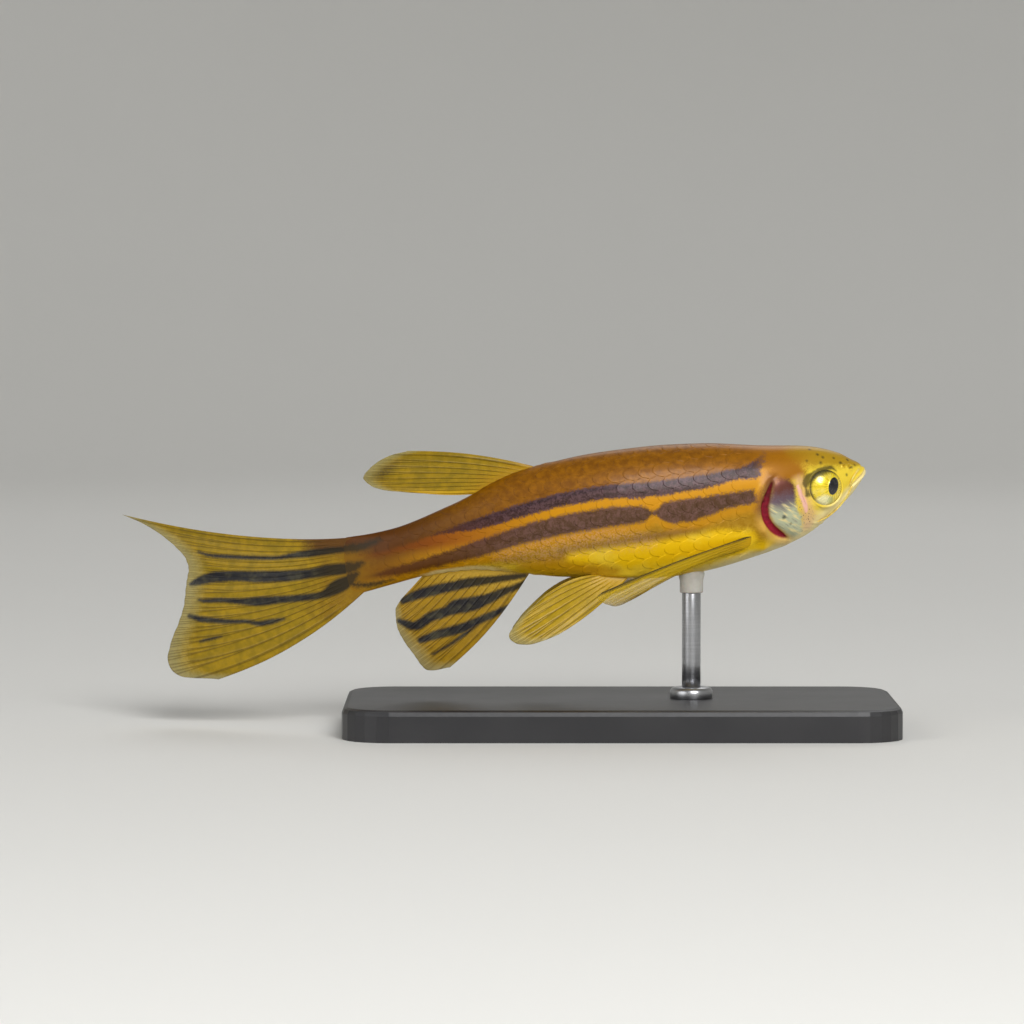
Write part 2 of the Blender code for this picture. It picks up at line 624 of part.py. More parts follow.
def make_stand(collection):
    """A flat base with rounded corners, and one rod up to the belly."""
    bpy.ops.mesh.primitive_cube_add(size=1)
    base = bpy.context.object
    base.name = "stand_base"
    for owner in list(base.users_collection):
        owner.objects.unlink(base)
    collection.objects.link(base)
    shape = bmesh.new()
    shape.from_mesh(base.data)
    bmesh.ops.scale(shape, vec=[MM * side for side in BASE_SIZE], verts=shape.verts)
    bmesh.ops.translate(shape, vec=(0, 0, MM * BASE_SIZE[2] / 2), verts=shape.verts)
    upright = [e for e in shape.edges if abs(e.verts[0].co.z - e.verts[1].co.z) > MM]
    bmesh.ops.bevel(shape, geom=upright, offset=MM * BASE_CORNER, segments=6, profile=0.5, affect="EDGES")
    top = [e for e in shape.edges if min(v.co.z for v in e.verts) > MM * (BASE_SIZE[2] - 0.01)]
    bmesh.ops.bevel(shape, geom=top, offset=MM * BASE_EDGE, segments=2, profile=0.5, affect="EDGES")
    shape.to_mesh(base.data)
    shape.free()
    base.data.materials.append(finish("base"))
    place = posed((ROD_STATION, 0, -float(smooth(DEPTH_BELOW, ROD_STATION)) - GAP))
    low, high = BASE_SIZE[2] + GAP, place[2]
    bpy.ops.mesh.primitive_cylinder_add(vertices=ROD_SIDES, radius=MM * ROD_RADIUS, depth=MM * (high - low))
    rod = bpy.context.object
    rod.name = "stand_rod"
    for owner in list(rod.users_collection):
        owner.objects.unlink(rod)
    collection.objects.link(rod)
    rod.location = (MM * place[0], MM * place[1], MM * (low + high) / 2)
    rod.data.materials.append(finish("rod"))


def main():
    """Clears the scene and builds the fish and its stand."""
    for old in list(bpy.data.objects):
        bpy.data.objects.remove(old)
    collection = bpy.data.collections.new("zebra_danio")
    bpy.context.scene.collection.children.link(collection)
    make_head(collection)
    make_torso(collection)
    make_tail(collection)
    make_gill_covers(collection)
    make_eyes(collection)
    make_median_fins(collection)
    make_caudal_fin(collection)
    make_paired_fins(collection)
    make_stand(collection)


main()
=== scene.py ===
"""A life-size display model of a zebra danio: seamless skin, scales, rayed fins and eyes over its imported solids.

Lengths are millimetres in the straight fish's own frame until a mesh is made: s runs back from the tip of the snout,
w out to the fish's right and h up from the midline. The pose bends that frame, and a mesh is written in metres.
"""

import logging
import math
from collections.abc import Sequence
from dataclasses import dataclass, field
from enum import Enum
from functools import reduce

import bpy
import numpy as np
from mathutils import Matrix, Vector

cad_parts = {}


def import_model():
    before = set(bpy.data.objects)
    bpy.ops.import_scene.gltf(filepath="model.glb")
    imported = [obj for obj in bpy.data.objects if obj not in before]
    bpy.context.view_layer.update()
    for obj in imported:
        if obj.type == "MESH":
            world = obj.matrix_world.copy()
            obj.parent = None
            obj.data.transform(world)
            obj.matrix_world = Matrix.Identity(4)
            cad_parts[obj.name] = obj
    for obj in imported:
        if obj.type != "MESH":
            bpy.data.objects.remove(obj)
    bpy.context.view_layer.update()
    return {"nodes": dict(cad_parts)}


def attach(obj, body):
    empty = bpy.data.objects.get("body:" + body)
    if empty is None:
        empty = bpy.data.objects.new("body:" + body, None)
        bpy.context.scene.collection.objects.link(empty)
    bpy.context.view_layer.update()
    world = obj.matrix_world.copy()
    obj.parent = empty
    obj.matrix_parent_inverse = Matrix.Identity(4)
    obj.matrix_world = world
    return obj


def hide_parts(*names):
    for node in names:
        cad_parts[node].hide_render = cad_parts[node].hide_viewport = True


MM = 0.001
LOG = logging.getLogger("zebra_danio")
Keys = tuple[tuple[float, ...], ...]
Colour = tuple[float, float, float, float]
Array = np.ndarray
Number = Array | float
Material = bpy.types.Material
Socket = bpy.types.NodeSocket
ROD_SLANT = (0.31, 0.17, 0.93)  # no rod runs along this direction


# Plain sums


def smooth(keys: Keys, x: Number) -> Array:
    """A smooth line with no overshoot through (x, value) keys.

    Args:
        keys: The places and values that the line passes through.
        x: Where it is read.

    Returns:
        The value at each x.
    """
    at, value = np.array(keys, float).T
    x = np.clip(np.asarray(x, float), at[0], at[-1])
    step = np.diff(at)
    slope = np.diff(value) / step
    tangent = np.concatenate([slope[:1], slope[:-1], slope[-1:]])
    for k in range(1, len(at) - 1):
        a, b = slope[k - 1], slope[k]
        tangent[k] = 2 * a * b / (a + b) if a * b > 0 else 0.0
    tangent[0], tangent[-1] = slope[0], slope[-1]
    i = np.clip(np.searchsorted(at, x, side="right") - 1, 0, len(step) - 1)
    t = (x - at[i]) / step[i]
    rise = (3 - 2 * t) * t * t
    lead = t * (1 - t) ** 2
    land = t * t * (t - 1)
    return value[i] * (1 - rise) + value[i + 1] * rise + step[i] * (lead * tangent[i] + land * tangent[i + 1])


def through(points: Keys, at: Array) -> Array:
    """A smooth line through points, read at places counted in points."""
    return np.stack([smooth(tuple(enumerate(column)), at) for column in np.array(points, float).T], axis=-1)


def blend(a: Number, b: Number, t: Number) -> Array:
    """The value a share t of the way from a to b."""
    return a + (b - a) * t


def ease(low: float, high: float, x: Number) -> Array:
    """Rises softly from 0 at low to 1 at high."""
    t = np.clip((np.asarray(x, float) - low) / (high - low), 0, 1)
    return t * t * (3 - 2 * t)


def length(vectors: Array) -> Array:
    """How long each vector is."""
    return np.linalg.norm(vectors, axis=-1)


def unit(vectors: Array) -> Array:
    """The vectors, each made one long."""
    return vectors / np.maximum(length(vectors)[..., None], 1e-12)


def hump(x: Number, width: float) -> Array:
    """A soft hump, 1 where x is 0."""
    return np.exp(-((np.asarray(x, float) / width) ** 2))


def paint(red: int, green: int, blue: int) -> Colour:
    """The linear colour of a paint given as it looks on a screen, 0 to 255."""
    red, green, blue = (((c / 255 + 0.055) / 1.055) ** 2.4 for c in (red, green, blue))
    return (red, green, blue, 1.0)


@dataclass(frozen=True)
class Stroke:
    """A painted or cut line of changing thickness, drawn on the fish's side by (s, h, thickness)."""

    keys: Keys
    steps: int = 8

    def depth(self, s: Array, h: Array) -> Array:
        """How far inside the stroke each place is.

        Args:
            s: Lengths back from the snout.
            h: Heights above the midline.

        Returns:
            Millimetres, above 0 inside the stroke and below 0 outside it.
        """
        last = len(self.keys) - 1
        line = through(self.keys, np.linspace(0, last, last * self.steps + 1))
        spots = np.stack([np.ravel(s), np.ravel(h)], axis=-1)
        low, high = line[:, :2].min(axis=0) - 1.5, line[:, :2].max(axis=0) + 1.5
        near = np.all((spots > low) & (spots < high), axis=-1)
        found = np.full(len(spots), -1.5)
        a, b = line[:-1, :2], line[1:, :2]
        run = b - a
        squared = np.maximum((run**2).sum(axis=-1), 1e-9)
        offset = spots[near][:, None] - a[None]
        t = np.clip((offset * run[None]).sum(axis=-1) / squared, 0, 1)
        gap = length(offset - t[..., None] * run[None])
        half = blend(line[:-1, 2], line[1:, 2], t) / 2
        found[near] = (half - gap).max(axis=-1)
        return found.reshape(np.shape(s))


# The body's shape and pose


@dataclass
class Body:
    """The outline and pose that every sub-assembly is built on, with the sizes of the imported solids."""

    length: float = 34.0
    snout_rounding: float = 0.45
    height_above: Keys = (
        (0, 0.42), (0.8, 0.95), (1.5, 1.48), (3.4, 2.28), (6.3, 2.87), (10.4, 3.7), (14, 4.02), (17, 4.08),
        (21.8, 3.72), (26.5, 2.6), (30.6, 1.98), (34, 1.92))
    depth_below: Keys = (
        (0, 0.32), (1.2, 1.42), (3.4, 2.8), (4.9, 3.46), (7.6, 4.02), (12.4, 4.5), (15, 4.4), (18, 3.86), (21, 3.32),
        (23.5, 2.5), (26.5, 1.68), (29, 1.46), (34, 1.78))
    half_width: Keys = (
        (0, 0.62), (1, 1.12), (2, 1.5), (3, 1.78), (4.5, 2.08), (6.4, 2.36), (8, 2.42), (12, 2.55), (16, 2.44),
        (20, 2.04), (24, 1.5), (28, 0.98), (31, 0.7), (34, 0.42))
    back_bluntness: Keys = ((0, 0.85), (3, 0.72), (8, 0.84), (20, 0.92), (34, 0.95))
    belly_bluntness: Keys = ((0, 0.95), (4, 1.02), (10, 0.88), (16, 0.92), (22, 1.1), (34, 0.95))
    pitch: Keys = ((0, 11), (7, 9.8), (13, 8), (18, 8.5), (24, 13), (29, 13.5), (34, 8), (38, 4), (50, 2))
    yaw: Keys = ((0, 15), (8, 11), (16, 5), (24, -2), (30, -6), (34, -9), (40, -14), (50, -20))
    snout_at: tuple[float, float, float] = (15.6, 2.45, 16.4)
    tail_curve: float = 0.55
    midline_end: float = 52.0
    midline_step: float = 0.05
    stations: Array = field(init=False, repr=False)
    heading: Array = field(init=False, repr=False)
    midline: Array = field(init=False, repr=False)

    def __post_init__(self) -> None:
        """Adds up the posed midline in short steps back from the snout."""
        self.stations = np.arange(0, self.midline_end + self.midline_step, self.midline_step)
        up, aside = np.radians(smooth(self.pitch, self.stations)), np.radians(smooth(self.yaw, self.stations))
        self.heading = np.stack([np.cos(up) * np.cos(aside), np.cos(up) * np.sin(aside), np.sin(up)], axis=-1)
        steps = np.cumsum((self.heading[1:] + self.heading[:-1]) / 2 * self.midline_step, axis=0)
        self.midline = np.array(self.snout_at) - np.concatenate([np.zeros((1, 3)), steps])

    def axes(self, s: Number) -> tuple[Array, Array, Array, Array]:
        """The posed midline at s.

        Args:
            s: Lengths back from the snout.

        Returns:
            The place, and the directions ahead, to the fish's right and up there.
        """
        s = np.asarray(s, float)
        place = np.stack([np.interp(s, self.stations, self.midline[:, k]) for k in range(3)], axis=-1)
        ahead = np.stack([np.interp(s, self.stations, self.heading[:, k]) for k in range(3)], axis=-1)
        ahead = unit(ahead)
        right = unit(np.stack([ahead[..., 1], -ahead[..., 0], np.zeros_like(s)], axis=-1))
        place = place - ahead * np.minimum(s, 0)[..., None]
        return place, ahead, right, np.cross(right, ahead)

    def posed(self, points: Array | Sequence) -> Array:
        """Moves points of the straight fish to their place in the pose.

        Args:
            points: Each one's (s, w, h).

        Returns:
            The posed points.
        """
        points = np.asarray(points, float)
        place, _, right, up = self.axes(points[..., 0])
        return place + right * points[..., 1:2] + up * points[..., 2:3]

    def rounding(self, s: Number) -> Array:
        """How much of the full section is left at s, where the snout closes."""
        left = 1 - np.clip(np.asarray(s, float) / self.snout_rounding, 0, 1)
        return np.sqrt(np.clip(1 - left * left, 0, 1))

    def section(self, s: Number, above: Array) -> tuple[Array, Array]:
        """The bluntness and the height of the back where above holds, or of the belly."""
        return (np.where(above, smooth(self.back_bluntness, s), smooth(self.belly_bluntness, s)),
                np.where(above, smooth(self.height_above, s), smooth(self.depth_below, s)))

    def surface(self, s: Number, degrees: Number) -> Array:
        """Places (s, w, h) on the body.

        Args:
            s: Lengths back from the snout.
            degrees: Angles down from the back, 90 on the fish's right side.

        Returns:
            One (s, w, h) for each pair.
        """
        s, degrees = np.broadcast_arrays(np.asarray(s, float), np.asarray(degrees, float))
        turn = np.radians(degrees)
        across, along = np.sin(turn), np.cos(turn)
        power, tall = self.section(s, along > 0)
        wide = np.sign(across) * np.abs(across) ** power * smooth(self.half_width, s)
        return np.stack([s, wide * self.rounding(s), along * tall * self.rounding(s)], axis=-1)

    def side_reach(self, s: Number, h: Number) -> Array:
        """How far out the body's side is.

        Args:
            s: Lengths back from the snout.
            h: Heights above the midline.

        Returns:
            The distance from the middle plane, 0 past the back or belly.
        """
        s, h = np.broadcast_arrays(np.asarray(s, float), np.asarray(h, float))
        power, tall = self.section(s, h > 0)
        level = np.clip(np.abs(h) / np.maximum(tall * self.rounding(s), 1e-6), 0, 1)
        return smooth(self.half_width, s) * self.rounding(s) * (1 - level * level) ** (power / 2)

    def spot_gap(self, place: Array, s: float, h: float) -> Array:
        """How far each (s, w, h) is from the side's spot at (s, h), on whichever side is nearer."""
        spot = np.array([s, float(self.side_reach(s, h)), h])
        return np.minimum(*(length(place * (1, side.value, 1) - spot) for side in Side))

    def tail_end(self, h: Number) -> Array:
        """Where the flesh of the tail ends at height h, a rounded edge that the tail fin's rays start from."""
        return self.length + 0.2 - self.tail_curve * (np.asarray(h, float) / 1.9) ** 2

    def outward(self, s: Array, degrees: Array, reach: float = 0.02) -> Array:
        """The posed direction out of the body's surface.

        Args:
            s: Lengths back from the snout.
            degrees: Angles down from the back.
            reach: Half the length over which the slope is read.

        Returns:
            One unit direction for each pair.
        """
        turn = np.degrees(reach / 3)
        along = self.posed(self.surface(s + reach, degrees)) - self.posed(self.surface(s - reach, degrees))
        around = self.posed(self.surface(s, degrees + turn)) - self.posed(self.surface(s, degrees - turn))
        return unit(np.cross(along, around))


class Side(Enum):
    """The fish's two sides, by the sign of w."""

    RIGHT = 1
    LEFT = -1


# Meshes from grids of points


def placed(name: str, data: bpy.types.ID) -> bpy.types.Object:
    """A new object of that data, linked to the scene."""
    bpy.context.scene.collection.objects.link(made := bpy.data.objects.new(name, data))
    return made


@dataclass
class Shape:
    """Points in millimetres, faces, each face corner's place on the unwrap, and named values at the points."""

    points: Array
    faces: list
    corners: Array | None = None
    fields: dict[str, Array] = field(default_factory=dict)

    def piece(self, name: str, material: Material) -> bpy.types.Object:
        """Makes an object of the shape.

        Args:
            name: The object's name.
            material: What it is finished in.

        Returns:
            The object, at the origin, with its faces pointing out.
        """
        mesh = bpy.data.meshes.new(name)
        mesh.from_pydata(np.asarray(self.points) * MM, [], self.faces)
        mesh.update()
        for label, values in self.fields.items():
            layer = mesh.attributes.new(label, "FLOAT_VECTOR", "POINT")
            layer.data.foreach_set("vector", np.asarray(values, np.float32).ravel())
        if self.corners is not None:
            unwrap = mesh.uv_layers.new(name="OFBake")
            unwrap.data.foreach_set("uv", np.asarray(self.corners, np.float32).ravel())
        mesh.materials.append(material)
        mesh.shade_smooth()
        return placed(name, mesh)


def grid_faces(rows: int, columns: int, wrap: bool = False) -> Array:
    """Quads over a grid of points that is stored row by row.

    Args:
        rows: Rows of points.
        columns: Points in a row.
        wrap: Whether the last column joins the first.

    Returns:
        Four point numbers for each quad.
    """
    i = np.arange(rows - 1)[:, None]
    j = np.arange(columns if wrap else columns - 1)[None, :]
    k = (j + 1) % columns
    quads = np.stack([i * columns + j, (i + 1) * columns + j, (i + 1) * columns + k, i * columns + k], axis=-1)
    return quads.reshape(-1, 4)


def upright_rings(profile: Sequence, sides: int) -> Array:
    """Rings of points round the upright axis.

    Args:
        profile: Each ring's (radius, height).
        sides: Points in a ring.

    Returns:
        The points, ring by ring.
    """
    turns = np.arange(sides) * 2 * np.pi / sides
    radius, height = np.array(profile, float).T
    return np.stack([radius[:, None] * np.cos(turns), radius[:, None] * np.sin(turns),
                     height[:, None] + 0 * turns], axis=-1).reshape(-1, 3)


def capped_rings(rings: int, around: int, kept: bool = True) -> list:
    """Faces over closed rings of points, with a fan from one point at each end.

    Args:
        rings: How many rings there are, with the two end points stored after them.
        around: Points in a ring.
        kept: Whether the faces keep the order of grid_faces or turn it round.

    Returns:
        The faces.
    """
    faces = grid_faces(rings, around, wrap=True).tolist()
    first, last = rings * around, (rings - 1) * around
    faces += [(first, k, (k + 1) % around) for k in range(around)]
    faces += [(first + 1, last + (k + 1) % around, last + k) for k in range(around)]
    return faces if kept else [face[::-1] for face in faces]


def sheet_faces(rows: int, columns: int) -> tuple[Array, Array]:
    """Faces of a closed sheet, whose lower side's points are stored after its upper side's.

    Args:
        rows: Rows of points on a side.
        columns: Points in a row.

    Returns:
        The upper side's faces, and the faces round the rim.
    """
    rim = [(0, j) for j in range(columns)] + [(i, columns - 1) for i in range(1, rows)]
    rim += [(rows - 1, j) for j in range(columns - 2, -1, -1)] + [(i, 0) for i in range(rows - 2, 0, -1)]
    edge = np.array([i * columns + j for i, j in rim])
    turn, size = np.roll(edge, -1), rows * columns
    return grid_faces(rows, columns), np.stack([edge, turn, turn + size, edge + size], axis=-1)


def joined(shapes: Sequence[Shape]) -> Shape:
    """One shape that holds several, with the fields that the first one has.

    Args:
        shapes: The shapes, all of them with corners or none.

    Returns:
        The joined shape.
    """
    faces, start = [], 0
    for shape in shapes:
        faces += [tuple(int(v) + start for v in face) for face in shape.faces]
        start += len(shape.points)
    fields = {name: np.concatenate([s.fields[name] for s in shapes]) for name in shapes[0].fields}
    corners = None if shapes[0].corners is None else np.concatenate([s.corners for s in shapes])
    return Shape(np.concatenate([s.points for s in shapes]), faces, corners, fields)


def rod_shape(line: Array, radii: Array, sides: int = 10) -> Shape:
    """A closed tapering rod along a line of posed points.

    Args:
        line: The points that it follows.
        radii: Its radius at each of them.
        sides: Faces around it.

    Returns:
        The rod, with both ends closed by a point.
    """
    ahead = unit(np.gradient(line, axis=0))
    across = unit(np.cross(ahead, ROD_SLANT))
    other = np.cross(ahead, across)
    turns = np.arange(sides) * 2 * np.pi / sides
    rings = (line[:, None] + radii[:, None, None]
             * (np.cos(turns)[None, :, None] * across[:, None] + np.sin(turns)[None, :, None] * other[:, None]))
    points = np.concatenate([rings.reshape(-1, 3), line[:1], line[-1:]])
    return Shape(points, capped_rings(len(line), sides, kept=False))


# Finishes


def feed(node: bpy.types.Node, inputs: dict) -> None:
    """Feeds a node's inputs.

    Args:
        node: The node.
        inputs: Values, or other nodes' sockets, by the inputs' names or numbers.
    """
    for name, value in inputs.items():
        if isinstance(value, Socket):
            node.id_data.links.new(value, node.inputs[name])
        else:
            node.inputs[name].default_value = value


class NodeSheet:
    """Adds shader nodes to one tree and wires them, so that a finish reads as plain sums."""

    def __init__(self, tree: bpy.types.NodeTree) -> None:
        """Starts on a tree.

        Args:
            tree: The node tree that the nodes go in.
        """
        self.tree = tree

    def put(self, kind: str, inputs: dict | None = None, **settings: object) -> bpy.types.Node:
        """Adds a node.

        Args:
            kind: Its type.
            inputs: Values or sockets for its inputs, by name or number.
            **settings: Its own settings.

        Returns:
            The node.
        """
        node = self.tree.nodes.new(kind)
        for name, value in settings.items():
            setattr(node, name, value)
        feed(node, inputs or {})
        return node

    def sum(self, operation: str, *values: Socket | float) -> Socket:
        """The result of one Math node."""
        return self.put("ShaderNodeMath", dict(enumerate(values)), operation=operation).outputs[0]

    def times(self, a: Socket | float, b: Socket | float) -> Socket:
        """One value times another."""
        return self.sum("MULTIPLY", a, b)

    def plus(self, a: Socket | float, b: Socket | float) -> Socket:
        """Two values added."""
        return self.sum("ADD", a, b)

    def minus(self, a: Socket | float, b: Socket | float) -> Socket:
        """One value less another."""
        return self.sum("SUBTRACT", a, b)

    def swing(self, noise: Socket, share: float) -> Socket:
        """A noise moved to lie around nothing, times a share."""
        return self.times(self.minus(noise, 0.5), share)

    def far(self, a: Socket, b: Socket) -> Socket:
        """How far the place (a, b) is from the middle."""
        return self.sum("SQRT", self.plus(self.times(a, a), self.times(b, b)))

    def held(self, name: str) -> Socket:
        """The vector held at the mesh's points under that name."""
        return self.put("ShaderNodeAttribute", attribute_name=name).outputs["Vector"]

    def parts(self, vector: Socket) -> tuple[Socket, Socket, Socket]:
        """The three numbers of a vector."""
        return tuple(self.put("ShaderNodeSeparateXYZ", {0: vector}).outputs)

    def noise(self, place: Socket, scale: float, detail: float = 2.0, roughness: float = 0.5) -> Socket:
        """Soft noise.

        Args:
            place: Where it is read.
            scale: Lumps to a unit of place.
            detail: How many finer layers it has.
            roughness: How strong those are.

        Returns:
            A value around a half.
        """
        inputs = {"Vector": place, "Scale": scale, "Detail": detail, "Roughness": roughness}
        return self.put("ShaderNodeTexNoise", inputs).outputs["Fac"]

    def rise(self, value: Socket, low: float, high: float, top: float = 1.0) -> Socket:
        """A soft step.

        Args:
            value: What it follows.
            low: Where it starts.
            high: Where it is full, which may be below low.
            top: Its full height.

        Returns:
            A value from 0 to top.
        """
        inputs = {"Value": value, "From Min": low, "From Max": high, "To Min": 0.0, "To Max": top}
        return self.put("ShaderNodeMapRange", inputs, interpolation_type="SMOOTHSTEP").outputs["Result"]

    def span(self, value: Socket, low: float, high: float) -> Socket:
        """Turns a value from 0 to 1 into one from low to high."""
        inputs = {"Value": value, "To Min": low, "To Max": high}
        return self.put("ShaderNodeMapRange", inputs).outputs["Result"]

    def mix(self, share: Socket | float, first: Socket | Colour, second: Socket | Colour) -> Socket:
        """Lays one colour over another.

        Args:
            share: How much of the second shows.
            first: The colour below.
            second: The colour above.

        Returns:
            The mixed colour.
        """
        return self.put("ShaderNodeMix", {0: share, 6: first, 7: second}, data_type="RGBA").outputs[2]

    def layers(self, base: Socket | Colour, *coats: tuple[Socket, Socket | Colour]) -> Socket:
        """The base with coats laid over it in turn, each a share and a colour."""
        return reduce(lambda below, coat: self.mix(coat[0], below, coat[1]), coats, base)

    def bump(self, height: Socket, strength: float, distance: float) -> Socket:
        """A shading normal from a height in metres times distance."""
        inputs = {"Height": height, "Strength": strength, "Distance": distance}
        return self.put("ShaderNodeBump", inputs).outputs["Normal"]


def fresh_material(name: str) -> tuple[Material, NodeSheet, bpy.types.Node]:
    """A new material with a plain shader.

    Args:
        name: The material's name.

    Returns:
        The material, a sheet for its nodes, and its shader.
    """
    material = bpy.data.materials.new(name)
    material.use_nodes = True
    return material, NodeSheet(material.node_tree), material.node_tree.nodes["Principled BSDF"]


@dataclass(frozen=True)
class Hide:
    """The living colours of the fish's skin, which its scales share, with painted glints on the flank and painted
    shade in the back's darker tones.
    """

    # The back, nape and tail tones are the fish's own dark back, darkened further with painted shade over the top of
    # the fish
    back: Colour = paint(142, 90, 0)
    back_dark: Colour = paint(114, 68, 0)
    nape: Colour = paint(154, 98, 2)
    tail: Colour = paint(70, 40, 0)
    gold: Colour = paint(194, 134, 2)
    orange: Colour = paint(134, 68, 0)
    flank: Colour = paint(158, 114, 8)
    flank_pale: Colour = paint(172, 130, 30)
    belly: Colour = paint(238, 192, 12)
    belly_pale: Colour = paint(242, 208, 62)
    belly_olive: Colour = paint(178, 124, 12)
    # The real pink flush behind the eye, and also the colour of the painted glints on the flank
    blush_and_glint: Colour = paint(214, 168, 132)
    stripe: Colour = paint(38, 25, 34)
    stripe_pale: Colour = paint(80, 58, 66)
    stripe_red: Colour = paint(64, 28, 12)
    forehead: Colour = paint(172, 136, 26)
    cheek: Colour = paint(232, 202, 60)
    cream: Colour = paint(242, 224, 160)
    plate: Colour = paint(108, 92, 102)
    plate_pale: Colour = paint(194, 198, 164)
    plate_red: Colour = paint(104, 60, 50)
    gill: Colour = paint(92, 10, 22)
    gill_bright: Colour = paint(146, 20, 44)
    streak: Colour = paint(236, 182, 164)
    ink: Colour = paint(28, 32, 24)
    tail_ink: Colour = paint(40, 34, 20)
    tail_shade: Colour = paint(84, 44, 2)
    tail_root: Colour = paint(128, 90, 4)
    cleithrum: Colour = paint(216, 168, 80)

    def group(self) -> bpy.types.NodeTree:
        """The markings as one group of nodes, for the skin and for the scales.

        Returns:
            A group that gives the colour, how metallic it is, its roughness and a fine height.
        """
        tree = bpy.data.node_groups.new("danio_markings", "ShaderNodeTree")
        for name, kind in (("Colour", "Color"), ("Metal", "Float"), ("Roughness", "Float"), ("Height", "Float")):
            tree.interface.new_socket(name, in_out="OUTPUT", socket_type="NodeSocket" + kind)
        n = NodeSheet(tree)
        fish = n.held("fish")
        length, _, high = n.parts(fish)
        back, belly, sparkle = n.parts(n.held("zones"))
        one, two, three = n.parts(n.held("bands"))
        plate, gill, streak = n.parts(n.held("face"))
        spots, chin, crown = n.parts(n.held("brow"))
        brown, flush, freckle = n.parts(n.held("cheek"))
        cream, olive, tail_patch = n.parts(n.held("under"))
        broad, middle = n.noise(fish, 0.6, 1.0), n.noise(fish, 2.6, 2.0, 0.6)
        fine, grain = n.noise(fish, 9.0, 1.0, 0.6), n.noise(fish, 26.0, 1.0, 0.6)
        ragged, slow = n.plus(n.swing(middle, 0.3), n.swing(fine, 0.3)), n.swing(broad, 3.0)

        def rough(value: Socket, low: float, high: float, top: float = 1.0, share: float = 1.0) -> Socket:
            """A soft step whose edge is ragged by a share of the noise."""
            return n.rise(n.plus(value, n.times(ragged, share)), low, high, top)

        golden = n.mix(n.rise(length, 19.0, 29.0), self.gold, self.orange)
        flank = n.layers(n.mix(n.rise(middle, 0.3, 0.75), self.flank, self.flank_pale),
                         (rough(two, -0.85, -0.25, 0.75), self.gold), (n.rise(one, -1.35, -0.5), golden))
        yellow = n.mix(n.rise(n.plus(middle, slow), 0.2, 1.0, 0.6), self.belly, self.belly_pale)
        glints = n.times(sparkle, n.rise(fine, 0.38, 0.66))
        # The back's darker tones: the fish's own colour, partly painted shade over the top
        upper = n.layers(n.mix(n.rise(middle, 0.25, 0.75), self.back_dark, self.back),
                         (n.rise(n.plus(length, slow), 12.0, 4.0, 0.8), self.nape),
                         (rough(length, 20.0, 33.0, 0.9, 6.0), self.tail))
        band = n.layers(self.stripe, (n.rise(n.plus(middle, n.swing(fine, 0.8)), 0.3, 0.75), self.stripe_pale),
                        (n.rise(length, 21.0, 29.0, 0.85), self.stripe_red))
        head = n.mix(n.rise(n.plus(length, slow), 2.6, 6.4), self.forehead, self.nape)
        head = n.layers(self.cheek, (rough(crown, 0.05, 0.75), head), (rough(brown, -0.5, 0.35), self.nape),
                        (rough(chin, 0.0, 0.8, 0.9), self.cream), (rough(flush, -0.4, 0.3, 0.65), self.blush_and_glint))
        behind = n.mix(rough(high, -1.9, -0.8), self.cleithrum, self.plate_red)
        scored = n.noise(n.held("slant"), 1.0, 2.0, 0.6)
        shell = n.layers(self.plate, (n.rise(n.plus(high, n.times(slow, 0.4)), -0.5, -1.7), self.plate_pale),
                         (rough(high, -0.75, 0.25, 1.0, 2.0), self.plate_red),
                         (n.times(n.rise(scored, 0.5, 0.66, 0.9), n.rise(high, -0.5, -1.2)), self.cream),
                         (n.times(n.rise(scored, 0.44, 0.3, 0.5), n.rise(high, 0.0, -0.9)), self.plate))
        ahead = n.rise(length, 5.8, 4.9)
        rim = n.plus(plate, n.times(ragged, n.span(ahead, 0.6, 2.2)))
        wine = n.mix(n.rise(n.minus(middle, n.times(high, 0.16)), 0.4, 0.95), self.gill, self.gill_bright)
        specks = n.times(n.rise(fine, 0.6, 0.72), n.rise(freckle, -0.5, 0.2))
        colour = n.layers(
            flank,
            (rough(belly, 0.05, 0.8), yellow),
            (rough(olive, -0.3, 0.4, 0.75), self.belly_olive),
            (rough(cream, 0.2, 0.9, 0.85), self.cream),
            # painted glints: pale pink speckles of reflected light over the flank's sparkle patch
            (n.times(glints, 0.36), self.blush_and_glint),
            (rough(back, -0.3, 0.3), upper),
            (rough(one, -0.12, 0.12, 0.96), band),
            (rough(two, -0.16, 0.16, 0.88), band),
            (rough(three, -0.32, 0.32, 0.45), band),
            (n.times(rough(length, 25.5, 32.0, 0.78, 4.0), n.rise(high, -1.5, -0.8)), self.tail_shade),
            (n.times(rough(length, 31.6, 33.6, 0.85, 4.0), n.rise(high, 1.6, 1.0)), self.tail_root),
            (rough(tail_patch, -0.22, 0.16, 0.88), self.tail_ink),
            (rough(length, 7.7, 6.3, 1.0, 3.0), head),
            (rough(gill, -0.75, 0.0, 0.75), behind),
            (n.rise(n.minus(rim, n.times(ahead, 0.25)), -0.16, 0.3), shell),
            (n.times(specks, 0.8), self.gill),
            (rough(streak, -0.07, 0.07, 1.0, 0.4), self.streak),
            (rough(gill, -0.06, 0.05, 1.0, 0.1), wine),
            (rough(spots, -0.1, 0.08, 0.8, 0.22), self.ink),
            (n.times(n.rise(grain, 0.62, 0.72), n.rise(back, -0.4, 0.4, 0.4)), self.ink))
        shine = n.plus(n.rise(plate, -0.1, 0.2, 0.3), n.times(glints, 0.3))
        shine = n.times(n.plus(shine, 0.1), n.rise(gill, 0.05, -0.05))
        n.put("NodeGroupOutput", {"Colour": colour, "Metal": shine, "Roughness": n.span(fine, 0.3, 0.46),
                                  "Height": grain})
        return tree

